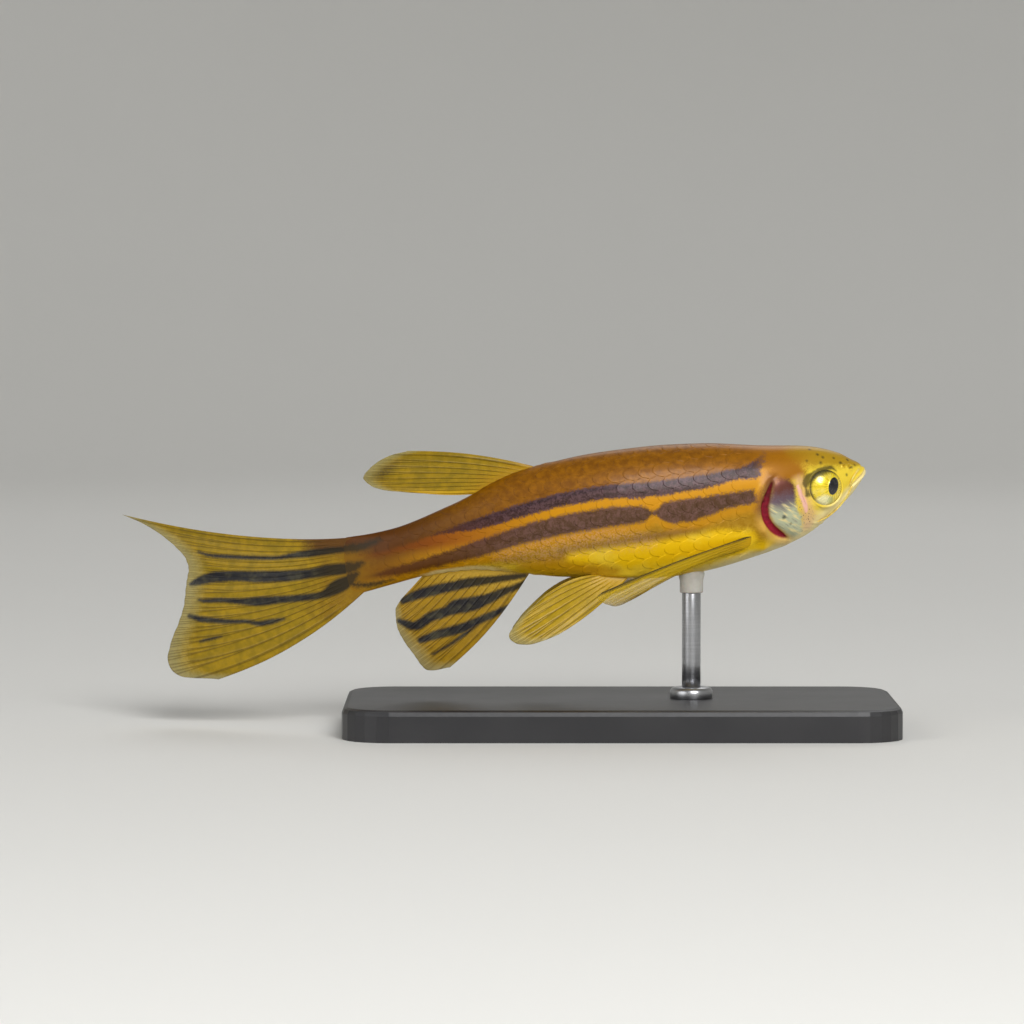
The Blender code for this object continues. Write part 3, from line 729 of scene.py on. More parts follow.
    def dress(self, name: str, tree: bpy.types.NodeTree, lift: float) -> Material:
        """A material that shows the markings.

        Args:
            name: The material's name.
            tree: The markings' group.
            lift: How deep the fine relief is, in millimetres.

        Returns:
            The material.
        """
        material, n, shader = fresh_material(name)
        marks = n.put("ShaderNodeGroup", node_tree=tree).outputs
        feed(shader, {"Base Color": marks["Colour"], "Metallic": marks["Metal"], "Roughness": marks["Roughness"],
                      "Normal": n.bump(marks["Height"], 0.4, lift * MM), "Coat Weight": 0.1, "Coat Roughness": 0.14,
                      "Specular IOR Level": 0.16})
        return material


@dataclass(frozen=True)
class FinFinish:
    """A fin's thin clear membrane and its stiff rays, with its stripes."""

    name: str
    membrane: Colour = paint(132, 108, 0)
    ray: Colour = paint(66, 48, 4)
    edge: Colour = paint(168, 162, 110)
    stripe: Colour = paint(16, 20, 30)
    glow: Colour = paint(190, 150, 4)
    root: Colour = paint(176, 132, 6)
    shade: Colour = paint(84, 48, 4)
    root_ink: Colour = paint(34, 28, 14)
    clearness: float = 0.07
    clear_root: float = 0.02
    edge_share: float = 0.55
    ray_solid: float = 0.98

    def material(self) -> Material:
        """Builds the material.

        Returns:
            The material, which reads the fin's fish, fin_place and fin_form values.
        """
        material, n, shader = fresh_material(self.name)
        fish = n.held("fish")
        along, count, run = n.parts(n.held("fin_place"))
        ridge, stripe, glow = n.parts(n.held("fin_form"))
        middle, fine = n.noise(fish, 1.6, 2.0, 0.6), n.noise(fish, 8.0, 2.0, 0.6)
        ragged = n.plus(n.swing(middle, 0.3), n.swing(fine, 0.35))
        on_ray = n.rise(ridge, 0.4, 0.95)
        joint = n.rise(n.sum("PINGPONG", n.plus(run, n.times(count, 0.37)), 0.17), 0.13, 0.17)
        joint = n.times(n.times(joint, on_ray), n.rise(along, 0.2, 0.35))
        mark = n.rise(n.plus(stripe, n.times(ragged, 0.4)), -0.16, 0.1, 0.97)
        dark = n.layers(self.stripe, (n.rise(middle, 0.4, 0.8, 0.1), self.edge),
                        (n.rise(along, 0.34, 0.12), self.root_ink))
        colour = n.layers(
            self.membrane,
            (n.rise(middle, 0.3, 0.75, 0.4), self.glow),
            (n.rise(n.plus(glow, ragged), 0.1, 0.9), self.glow),
            (n.rise(n.plus(along, ragged), 0.35, 0.0, 0.85), self.root),
            (n.rise(n.plus(glow, ragged), -0.1, -0.8, 0.9), self.shade),
            (n.rise(n.plus(along, n.times(ragged, 0.2)), 0.86, 0.99, self.edge_share), self.edge),
            (n.times(on_ray, 0.5), self.ray),
            (mark, dark),
            (n.times(joint, 0.3), self.ray))
        solid = n.sum("MAXIMUM", n.rise(mark, 0.1, 0.8, 0.99), n.span(on_ray, 1 - self.clearness, self.ray_solid))
        solid = n.sum("MAXIMUM", solid, n.rise(along, self.clear_root + 0.28, self.clear_root, 0.98))
        solid = n.times(solid, n.span(n.rise(along, 0.9, 1.0), 1.0, 0.8))
        feed(shader, {"Base Color": colour, "Alpha": solid, "Roughness": n.span(fine, 0.34, 0.5),
                      "Normal": n.bump(n.minus(fine, joint), 0.4, 0.012 * MM), "Coat Weight": 0.1,
                      "Coat Roughness": 0.2, "Specular IOR Level": 0.2})
        return material


@dataclass(frozen=True)
class EyeFinish:
    """A wet eye: a dark oval pupil set forward in a golden iris."""

    pupil_at: tuple[float, float] = (0.42, 0.02)
    pupil: tuple[float, float] = (0.37, 0.57)
    pupil_lean: float = 27.0
    gold: Colour = paint(238, 210, 24)
    gold_deep: Colour = paint(204, 156, 14)
    # The iris's silvery clouds, and also the colour of its painted highlight
    silver_and_highlight: Colour = paint(248, 240, 180)
    green: Colour = paint(158, 172, 108)
    black: Colour = paint(7, 8, 16)
    lid_shade: Colour = paint(40, 44, 30)
    rim_shade: Colour = paint(58, 52, 20)

    def material(self) -> Material:
        """Builds the material.

        Returns:
            The material, which reads the eye's own eye_plane: ahead, up and out in millimetres.
        """
        material, n, shader = fresh_material("danio_eye")
        plane = n.held("eye_plane")
        x, y, _ = n.parts(plane)
        lean = math.radians(self.pupil_lean)
        dx, dy = n.minus(x, self.pupil_at[0]), n.minus(y, self.pupil_at[1])
        cos, sin = math.cos(lean), math.sin(lean)
        u = n.sum("DIVIDE", n.minus(n.times(dx, cos), n.times(dy, sin)), self.pupil[0])
        v = n.sum("DIVIDE", n.plus(n.times(dx, sin), n.times(dy, cos)), self.pupil[1])
        far, out = n.far(u, v), n.far(x, y)
        spokes = n.put("ShaderNodeCombineXYZ", {0: n.times(n.sum("ARCTAN2", dy, dx), 3.0), 1: out}).outputs[0]
        streaks, cloud = n.noise(spokes, 2.4, 3.0, 0.6), n.noise(plane, 2.2, 3.0, 0.6)
        behind = n.rise(n.minus(y, n.times(x, 0.7)), -0.5, 0.5)
        colour = n.layers(
            self.gold,
            (n.rise(streaks, 0.62, 0.3, 0.22), self.gold_deep),
            (n.rise(cloud, 0.42, 0.7, 0.2), self.silver_and_highlight),
            # painted highlight: a pale crescent low at the back of the iris
            (n.rise(n.far(n.plus(x, 0.36), n.times(n.plus(y, 0.78), 1.3)), 0.66, 0.26, 0.95), self.silver_and_highlight),
            (n.rise(n.far(n.minus(x, 0.12), n.plus(y, 0.82)), 0.36, 0.1, 0.6), self.green),
            (n.rise(far, 1.28, 1.02, 0.6), self.gold),
            (n.rise(n.plus(y, n.times(x, -0.25)), 0.62, 1.0, 0.85), self.lid_shade),
            (n.times(n.rise(out, 0.92, 1.1), n.span(behind, 0.3, 0.9)), self.rim_shade),
            (n.rise(n.plus(far, n.times(streaks, 0.08)), 1.09, 1.0), self.black))
        feed(shader, {"Base Color": colour, "Metallic": n.rise(far, 1.0, 1.1, 0.3),
                      "Roughness": n.span(streaks, 0.2, 0.36), "Normal": n.bump(streaks, 0.3, 0.02 * MM),
                      "Coat Weight": 0.8, "Coat Roughness": 0.06})
        return material


@dataclass(frozen=True)
class StandFinish:
    """A plain dark satin base and a brushed steel rod."""

    base: Colour = paint(34, 34, 37)
    base_worn: Colour = paint(58, 57, 58)
    steel: Colour = paint(176, 177, 180)
    steel_dark: Colour = paint(132, 133, 137)
    rubber: Colour = paint(196, 192, 182)
    rubber_dark: Colour = paint(172, 168, 158)

    def base_material(self) -> Material:
        """The base's satin, with a fine grain.

        Returns:
            The material.
        """
        material, n, shader = fresh_material("stand_satin")
        place = n.put("ShaderNodeTexCoord").outputs["Object"]
        grain, cloud = n.noise(place, 2600.0, 2.0), n.noise(place, 160.0, 3.0)
        worn = n.put("ShaderNodeNewGeometry").outputs["Pointiness"]
        colour = n.mix(n.rise(cloud, 0.35, 0.75, 0.35), self.base, self.base_worn)
        colour = n.mix(n.rise(worn, 0.53, 0.6, 0.5), colour, self.base_worn)
        feed(shader, {"Base Color": colour, "Roughness": n.span(cloud, 0.34, 0.5), "Specular IOR Level": 0.45,
                      "Normal": n.bump(grain, 0.25, 0.03 * MM)})
        return material

    def steel_material(self) -> Material:
        """Steel brushed round the rod.

        Returns:
            The material.
        """
        material, n, shader = fresh_material("stand_steel")
        x, y, z = n.parts(n.put("ShaderNodeTexCoord").outputs["Object"])
        stretched = n.put("ShaderNodeCombineXYZ", {0: n.times(x, 0.05), 1: n.times(y, 0.05), 2: z}).outputs[0]
        brushed = n.noise(stretched, 9000.0, 3.0, 0.6)
        feed(shader, {"Base Color": n.mix(n.rise(brushed, 0.3, 0.7, 0.3), self.steel, self.steel_dark),
                      "Roughness": n.span(brushed, 0.22, 0.4), "Normal": n.bump(brushed, 0.2, 0.01 * MM),
                      "Metallic": 1.0})
        return material

    def rubber_material(self) -> Material:
        """The soft pale sleeve that the fish rests on.

        Returns:
            The material.
        """
        material, n, shader = fresh_material("stand_sleeve")
        grain = n.noise(n.put("ShaderNodeTexCoord").outputs["Object"], 3800.0, 3.0)
        feed(shader, {"Base Color": n.mix(n.rise(grain, 0.3, 0.7, 0.3), self.rubber, self.rubber_dark),
                      "Roughness": n.span(grain, 0.4, 0.6), "Normal": n.bump(grain, 0.3, 0.02 * MM),
                      "Subsurface Weight": 0.2, "Subsurface Scale": 0.3 * MM})
        return material


# Markings


@dataclass(frozen=True)
class Markings:
    """Where the stripes and patches lie on the fish's side, by length and height."""

    stripe_one_top: Keys = (
        (7.0, 1.95), (7.7, 1.88), (8.8, 1.88), (11.1, 1.82), (14.2, 1.85), (17.3, 2.06), (19.7, 1.96), (22.2, 1.72),
        (24.8, 1.45), (27.4, 1.3), (31, 1.0), (34, 0.95))
    stripe_one_bottom: Keys = (
        (7.0, 1.3), (7.7, 1.06), (9.0, 1.18), (11.3, 0.91), (14.4, 0.92), (17.4, 1.17), (19.9, 1.1), (22.4, 0.87),
        (25.0, 0.7), (27.6, 0.75), (31, 0.8), (34, 0.85))
    stripe_one_curl: Stroke = Stroke(((8.3, 1.62, 0.6), (7.6, 1.78, 0.6), (7.0, 2.12, 0.42), (6.6, 2.5, 0.2)))
    stripe_two_top: Keys = (
        (7.7, 0.42), (9.2, 0.44), (11.4, 0.48), (14.5, 0.46), (17.6, 0.65), (20, 0.56), (22.5, 0.37), (25.1, 0.04),
        (27.7, -0.21), (30.4, -0.45), (33.5, -0.5))
    stripe_two_bottom: Keys = (
        (7.7, -0.49), (9.3, -0.5), (11.3, -0.85), (12.0, -1.0), (13.4, -0.9), (14.6, -0.62), (17.7, -0.62),
        (20.2, -0.7), (22.7, -0.8), (25.4, -1.02), (28, -1.06), (33.5, -0.95))
    stripe_two_break: float = 14.3
    stripe_two_starts: float = 7.9
    stripe_three: Stroke = Stroke((
        (11.2, -1.75, 0.2), (12.9, -1.56, 0.35), (14.8, -1.58, 0.4), (17.2, -1.73, 0.4), (20.4, -1.71, 0.2)))
    belly_patch: Stroke = Stroke((
        (8.8, -2.75, 1.0), (11, -2.7, 1.6), (14, -2.95, 1.7), (17, -2.75, 1.5), (19.5, -2.4, 0.8)))
    sparkle_patch: Stroke = Stroke(((14.8, -1.9, 0.8), (18, -1.3, 1.5), (21, -1.2, 1.6), (24, -1.3, 0.9)))
    plate_edge: Keys = (
        (6.64, 0.62), (6.92, 0.01), (7.13, -0.53), (7.24, -0.98), (7.22, -1.4), (7.1, -1.82), (6.88, -2.2),
        (6.56, -2.56), (6.15, -2.92), (5.6, -3.25))
    plate_front: Keys = (
        (5.05, -3.3), (4.85, -2.76), (4.88, -1.95), (5.1, -1.4), (5.24, -0.9), (5.16, 0.01), (5.33, 0.42),
        (5.87, 0.78), (6.3, 0.82))
    gill: Stroke = Stroke((
        (6.72, 0.6, 0.1), (7.02, 0.05, 0.3), (7.28, -0.47, 0.42), (7.42, -0.92, 0.46), (7.44, -1.38, 0.46),
        (7.34, -1.82, 0.46), (7.12, -2.24, 0.46), (6.8, -2.62, 0.44), (6.45, -2.93, 0.34), (6.15, -3.15, 0.14)))
    streak: Stroke = Stroke(((5.1, 0.08, 0.14), (4.96, -0.48, 0.3), (4.76, -1.1, 0.34), (4.74, -1.62, 0.2)))
    rim: Stroke = Stroke((
        (4.47, -0.66, 0.26), (4.48, -0.25, 0.12), (4.45, 0.1, 0.4), (4.2, 0.4, 0.5), (3.82, 0.6, 0.3),
        (3.25, 0.78, 0.26), (2.7, 0.78, 0.26), (2.3, 0.5, 0.1)))
    freckles: Keys = (
        (3.22, 1.2, 0.1), (1.82, 0.91, 0.11), (1.13, 0.47, 0.08), (3.24, 1.74, 0.09), (2.95, 1.51, 0.09),
        (1.2, 0.97, 0.1), (3.61, 2.14, 0.09), (1.59, 0.08, 0.08), (2.2, 1.3, 0.08), (4.1, 1.5, 0.07),
        (0.8, 0.55, 0.07), (6.3, -1.69, 0.13), (5.9, -2.2, 0.07))
    brown: Stroke = Stroke(((4.75, 0.9, 0.7), (5.4, 1.15, 1.3), (6.4, 1.2, 1.6), (7.4, 1.2, 1.4)))
    flush: Stroke = Stroke(((4.9, 0.3, 0.7), (4.75, -0.8, 0.6), (4.6, -1.9, 0.9), (4.7, -2.6, 0.6)))
    speckle: Stroke = Stroke(((5.3, -0.5, 0.5), (5.02, -1.06, 0.5), (4.72, -1.8, 0.6), (4.6, -2.4, 0.3)))
    olive: Stroke = Stroke(((17.0, -3.5, 0.5), (19.0, -3.1, 1.0), (21.0, -2.7, 1.1), (23.0, -2.2, 0.6)))
    tail_patches: tuple[Stroke, ...] = (
        Stroke(((31.4, 1.45, 0.2), (33.0, 1.2, 0.5), (34.8, 1.18, 0.44))),
        Stroke(((32.8, 0.15, 0.2), (33.7, 0.0, 0.66), (34.8, -0.05, 0.72))),
        Stroke(((33.3, -0.45, 0.3), (34.0, -0.85, 0.8), (34.9, -1.15, 0.76))),
        Stroke(((31.0, -1.25, 0.1), (32.4, -1.3, 0.25), (33.6, -1.1, 0.3))),
    )
    slant: float = 38.0

    def fields(self, body: Body, place: Array) -> dict[str, Array]:
        """The values that the markings' nodes read.

        Args:
            body: The fish's shape.
            place: (s, w, h) of each point.

        Returns:
            Three numbers at each point under each name.
        """
        s, h = place[:, 0], place[:, 2]
        tall, deep = smooth(body.height_above, s), smooth(body.depth_below, s)
        one = np.minimum(smooth(self.stripe_one_top, s) - h, h - smooth(self.stripe_one_bottom, s))
        one = np.minimum(one, s - 7.3)
        one = np.maximum(one, self.stripe_one_curl.depth(s, h)) - 0.42 * ease(24, 31, s)
        two = np.minimum(smooth(self.stripe_two_top, s) - h, h - smooth(self.stripe_two_bottom, s))
        two = np.minimum(two, s - self.stripe_two_starts) - 0.42 * hump(s - self.stripe_two_break, 0.42)
        two -= 0.3 * ease(30.5, 33.5, s)
        back = (h - smooth(self.stripe_one_top, s) + 0.3) / 0.5
        belly = self.belly_patch.depth(s, h) / 0.9 + 0.6
        belly = np.maximum(belly, ease(-0.55, -0.95, h / deep) * ease(30, 20, s))
        sparkle = ease(-0.5, 0.35, self.sparkle_patch.depth(s, h))
        plate = inside_distance(rounded(self.plate_edge + self.plate_front), s, h)
        chin = ease(-0.15, -0.85, (h + 0.2 * (s - 2.0)) / deep) * 1.2 - 0.2 - 0.6 * ease(0.2, 1.0, h)
        chin *= ease(7.8, 6.6, s)
        spots = self.rim.depth(s, h)
        for at, high, radius in self.freckles:
            spots = np.maximum(spots, radius * 0.9 - body.spot_gap(place, at, high))
        cream = ease(-0.75, -0.98, h / deep) * (ease(15, 9, s) + ease(22, 26, s) * ease(30.5, 28, s))
        tail_patch = np.max([stroke.depth(s, h) for stroke in self.tail_patches], axis=0)
        turn = math.radians(self.slant)
        down, over = (6.0 - s) * math.cos(turn) - h * math.sin(turn), (6.0 - s) * math.sin(turn) + h * math.cos(turn)
        crown = (h - blend(0.3, 0.75, ease(1.0, 6.0, s))) / np.maximum(tall * 0.5, 0.3)
        layers = {
            "bands": (one, two, self.stripe_three.depth(s, h)),
            "zones": (back, belly, sparkle),
            "face": (plate, self.gill.depth(s, h), self.streak.depth(s, h)),
            "brow": (spots, chin, crown),
            "cheek": (self.brown.depth(s, h), self.flush.depth(s, h), self.speckle.depth(s, h)),
            "under": (cream, self.olive.depth(s, h), tail_patch),
            "slant": (down * 0.9, over * 4.5, 0 * s),
        }
        return {"fish": place} | {name: np.stack(values, axis=-1) for name, values in layers.items()}


def rounded(outline: Keys, steps: int = 5) -> Array:
    """A closed outline through corners, rounded off.

    Args:
        outline: The corners (s, h) in order.
        steps: Pieces between two corners.

    Returns:
        The outline's points.
    """
    at = np.linspace(1, len(outline) + 1, len(outline) * steps + 1)[:-1]
    return through(outline + outline[:3], at)


def inside_distance(outline: Array, s: Array, h: Array) -> Array:
    """How far inside a closed outline each place is.

    Args:
        outline: The corners (s, h) in order.
        s: Lengths back from the snout.
        h: Heights above the midline.

    Returns:
        Millimetres, above 0 inside and below 0 outside, no further than 1.5.
    """
    found = np.full(s.shape, -1.5)
    near = (s > outline[:, 0].min() - 1.5) & (s < outline[:, 0].max() + 1.5)
    spots = np.stack([s[near], h[near]], axis=-1)
    ends = np.roll(outline, -1, axis=0)
    run = ends - outline
    offset = spots[:, None] - outline[None]
    t = np.clip((offset * run[None]).sum(axis=-1) / (run**2).sum(axis=-1), 0, 1)
    gap = length(offset - t[..., None] * run[None]).min(axis=-1)
    y, low, high = spots[:, None, 1], outline[None, :, 1], ends[None, :, 1]
    crossing = outline[None, :, 0] + (y - low) / np.where(high == low, 1e-9, high - low) * run[None, :, 0]
    inside = (((low > y) != (high > y)) & (spots[:, None, 0] < crossing)).sum(axis=-1) % 2 == 1
    found[near] = np.where(inside, gap, -gap)
    return found


# The skin and its relief


@dataclass(frozen=True)
class EyeSeat:
    """Where an eye sits, and the dome that shows."""

    at: tuple[float, float] = (3.24, -0.42)
    radius: float = 1.15
    half_depth: float = 0.68
    stands_proud: float = 0.2
    turned_forward: float = 8.0
    dome_drop: float = 0.4

    def axes(self, body: Body, side: Side) -> tuple[Array, Array, Array, Array]:
        """The eye's own place and directions.

        Args:
            body: The fish's shape.
            side: Which eye.

        Returns:
            Its centre in the pose, and the directions ahead, up and out.
        """
        s, h = self.at
        reach = float(body.side_reach(s, h)) + self.stands_proud - self.half_depth
        _, ahead, right, up = body.axes(s)
        turn = math.radians(self.turned_forward)
        out = right * side.value * math.cos(turn) + ahead * math.sin(turn)
        front = ahead * math.cos(turn) - right * side.value * math.sin(turn)
        return body.posed((s, side.value * reach, h)), front, up, out

    def dome(self, far: Array) -> Array:
        """How far out of its centre the eye's face is, at a distance from its axis."""
        return self.half_depth - self.dome_drop * (np.minimum(far, self.radius) / self.radius) ** 2.3


@dataclass
class Skin:
    """One seamless skin over head, gill covers, trunk and tail, with the head's relief worked into it."""

    body: Body
    markings: Markings
    eye: EyeSeat
    around: int = 224
    inset: float = 0.045
    tip_rings: int = 14
    snout_step: float = 0.04
    head_step: float = 0.062
    trunk_step: float = 0.16
    tail_rings: int = 30
    snout_to: float = 1.85
    head_to: float = 7.95
    trunk_to: float = 30.0
    thins_from: float = 30.5
    mouth_length: float = 1.35
    mouth_start: float = 0.06
    mouth_slope: float = 0.6
    lip_height: float = 0.1
    mouth_depth: float = 0.2
    nostrils: Keys = ((1.26, 0.5, 0.13), (1.64, 0.66, 0.1))
    gill_depth: float = 0.2
    plate_lift: float = 0.1
    preopercle: Stroke = Stroke((
        (5.0, 0.35, 0.12), (4.9, -0.7, 0.12), (4.72, -1.7, 0.12), (4.3, -2.5, 0.12), (3.5, -2.75, 0.1)))
    jaw: Stroke = Stroke(((1.35, -0.8, 0.08), (1.9, -1.25, 0.08), (2.6, -1.85, 0.07), (3.4, -2.4, 0.05)))
    orbit_below: Stroke = Stroke(((2.2, -1.3, 0.1), (2.9, -1.85, 0.1), (3.7, -1.9, 0.1), (4.45, -1.4, 0.1)))
    throat_rays: tuple[float, ...] = (-3.0, -2.75, -2.5)

    def stations(self) -> tuple[Array, Array]:
        """Where the skin's rings lie.

        Returns:
            Each point's length back and its angle down from the back, ring by ring.
        """
        turn = np.arange(self.around) * 360 / self.around
        tip = self.body.snout_rounding * (1 - np.cos(np.linspace(0, np.pi / 2, self.tip_rings + 1)[1:]))
        snout = np.arange(tip[-1] + self.snout_step, self.snout_to, self.snout_step)
        head = np.arange(self.snout_to, self.head_to, self.head_step)
        trunk = np.arange(self.head_to, self.trunk_to, self.trunk_step)
        rings = np.concatenate([tip, snout, head, trunk])[:, None] + 0 * turn[None, :]
        end = self.body.tail_end(self.body.surface(self.body.length, turn)[:, 2])
        share = np.linspace(0, 1, self.tail_rings + 1)[:, None]
        rings = np.concatenate([rings, blend(self.trunk_to, end[None, :], share)])
        return rings, np.broadcast_to(turn, rings.shape)

    def thinning(self, s: Array) -> Array:
        """How much of the full width is left where the flesh thins down to the tail fin."""
        share = np.clip((s - self.thins_from) / (self.body.length + 0.2 - self.thins_from), 0, 1)
        return 1 - 0.97 * share**1.7

    def mouth_line(self) -> Array:
        """The mouth from its left corner round the snout to the right one.

        Returns:
            (s, w, h) of points along it.
        """
        t = np.linspace(-1, 1, 61)
        s = self.mouth_start + (self.mouth_length - self.mouth_start) * np.abs(t) ** 1.7
        h = self.mouth_start - self.mouth_slope * s
        return np.stack([s, np.sign(t) * self.body.side_reach(s, h), h], axis=-1)

    def mouth(self, place: Array) -> Array:
        """The groove of the mouth between two lips.

        Args:
            place: (s, w, h) of the skin's points.

        Returns:
            How far each stands out.
        """
        height = np.zeros(len(place))
        near = place[:, 0] < self.mouth_length + 0.9
        line = self.mouth_line()
        gap = length(place[near][:, None] - line[None])
        close = gap.argmin(axis=-1)
        gap = gap.min(axis=-1)
        fade = 1 - 0.55 * np.abs(np.linspace(-1, 1, len(line)))[close] ** 2
        below = place[near, 2] < line[close, 2]
        lip = self.lip_height * np.where(below, 1.0, 0.85) * hump(gap - 0.16, 0.1) * fade
        fold = 0.03 * hump(gap - 0.36, 0.07) * fade
        height[near] = lip - fold - self.mouth_depth * hump(gap, 0.055) * fade
        return height

    def head_relief(self, place: Array) -> Array:
        """The nostrils, the gill cover's plates and opening, the jaw and the throat's rays.

        Args:
            place: (s, w, h) of the skin's points.

        Returns:
            How far each stands out.
        """
        s, h = place[:, 0], place[:, 2]
        height = self.mouth(place)
        for at, high, radius in self.nostrils:
            gap = self.body.spot_gap(place, at, high)
            height += 0.06 * hump(gap - radius * 1.5, radius * 0.5) - 0.16 * ease(radius * 1.25, radius * 0.5, gap)
        plate = inside_distance(rounded(self.markings.plate_edge + self.markings.plate_front), s, h)
        opening = self.markings.gill.depth(s, h)
        height += self.plate_lift * ease(-0.25, 0.5, plate) * ease(4.4, 5.6, s)
        height -= self.gill_depth * ease(-0.07, 0.07, opening)
        height += 0.05 * hump(opening + 0.32, 0.22) * ease(-0.02, 0.05, -plate - 0.2)
        height += 0.035 * ease(-0.1, 0.1, self.preopercle.depth(s, h))
        height -= 0.05 * ease(-0.08, 0.03, self.jaw.depth(s, h))
        height -= 0.03 * ease(-0.15, 0.05, self.orbit_below.depth(s, h))
        for level in self.throat_rays:
            line = h - level - 0.25 * (s - 4.5)
            height += 0.025 * hump(line, 0.06) * ease(2.6, 3.2, s) * ease(6.0, 5.2, s)
        return height

    def fin_swellings(self, place: Array, roots: Sequence["Fin"]) -> Array:
        """The low ridges of flesh that the fins grow from.

        Args:
            place: (s, w, h) of the skin's points.
            roots: The fins.

        Returns:
            How far each point stands out.
        """
        height = np.zeros(len(place))
        for fin in roots:
            if fin.grows_from is Growth.TAIL:
                continue
            line = fin.root_line(np.linspace(0, 1, 9), 0.0)
            near = (place[:, 0] > line[:, 0].min() - 1) & (place[:, 0] < line[:, 0].max() + 1)
            gap = length(place[near][:, None] - line[None]).min(axis=-1)
            height[near] += fin.swelling * hump(gap, fin.swelling_reach)
        return height

    def pressed(self, points: Array) -> Array:
        """The skin's posed points with the two eye sockets pressed in.

        Args:
            points: The posed points.

        Returns:
            The moved points.
        """
        for side in Side:
            centre, front, up, out = self.eye.axes(self.body, side)
            local = points - centre
            x, y, z = local @ front, local @ up, local @ out
            far = np.hypot(x, y)
            seat = self.eye.dome(self.eye.radius) + 0.03
            lip = np.minimum(z, blend(seat, z, ease(0.98, 1.45, far / self.eye.radius)))
            under = np.minimum(lip, blend(-0.1, seat, ease(0.88, 0.98, far / self.eye.radius)))
            moved = np.where((z > 0) & (far < 1.5 * self.eye.radius), under, z)
            points = points + (moved - z)[:, None] * out
        return points

    def build(self, fins: Sequence["Fin"]) -> Shape:
        """Builds the skin.

        Args:
            fins: The fins, whose roots it swells round.

        Returns:
            The skin's shape with the markings' values and its unwrap.
        """
        s, degrees = self.stations()
        place = self.body.surface(s, degrees)
        place[..., 1] *= self.thinning(place[..., 0])
        flat = place.reshape(-1, 3)
        posed = self.body.posed(place)
        along = np.gradient(posed, axis=0)
        around = np.roll(posed, -1, axis=1) - np.roll(posed, 1, axis=1)
        out = unit(np.cross(along, around))
        height = np.zeros(len(flat))
        front = flat[:, 0] < self.head_to + 0.6
        height[front] = self.head_relief(flat[front])
        height += self.fin_swellings(flat, fins) - self.inset * (1 - ease(31.5, 34.0, flat[:, 0]))
        points = self.pressed(posed.reshape(-1, 3) + out.reshape(-1, 3) * height[:, None])
        last = float(self.body.tail_end(0))
        tip, end = self.body.posed((self.inset, 0, 0)), self.body.posed((last, 0, 0))
        ends = np.array([[0.0, 0, 0], [last, 0, 0]])
        fields = self.markings.fields(self.body, np.concatenate([flat, ends]))
        faces = capped_rings(len(s), self.around)
        return Shape(np.concatenate([points, [tip, end]]), faces, self.unwrap(s), fields)

    def unwrap(self, s: Array) -> Array:
        """The skin's own unwrap, opened along the belly.

        Args:
            s: Each ring's lengths back.

        Returns:
            A place for each corner of each face, in the faces' order.
        """
        u = self.unwrapped(s, 0.0)[..., 0]
        v = np.arange(self.around + 1) / self.around * 0.98 + 0.01
        low, high = np.broadcast_to(v[:-1], u.shape), np.broadcast_to(v[1:], u.shape)
        left, right = np.stack([u, low], -1), np.stack([np.roll(u, -1, axis=1), high], -1)
        quads = np.stack([left[:-1], left[1:], right[1:], right[:-1]], axis=2)
        middle = (v[:-1] + v[1:]) / 2
        tip = np.stack([np.stack([0 * middle + 0.004, middle], -1), left[0], right[0]], axis=1)
        end = np.stack([np.stack([0 * middle + 0.996, middle], -1), right[-1], left[-1]], axis=1)
        return np.concatenate([corners.reshape(-1, 2) for corners in (quads, tip, end)])

    def unwrapped(self, s: Number, degrees: Number) -> Array:
        """Where a place on the skin lies on the unwrap.

        Args:
            s: Lengths back from the snout.
            degrees: Angles down from the back.

        Returns:
            (u, v), with more of the map given to the head.
        """
        s, degrees = np.broadcast_arrays(np.asarray(s, float), np.asarray(degrees, float))
        share = np.where(s < self.head_to, 0.37 * s / self.head_to,
                         0.37 + 0.61 * (s - self.head_to) / (self.body.length + 0.4 - self.head_to))
        return np.stack([0.01 + share, 0.01 + 0.98 * np.mod(degrees, 360) / 360], axis=-1)


# The scales


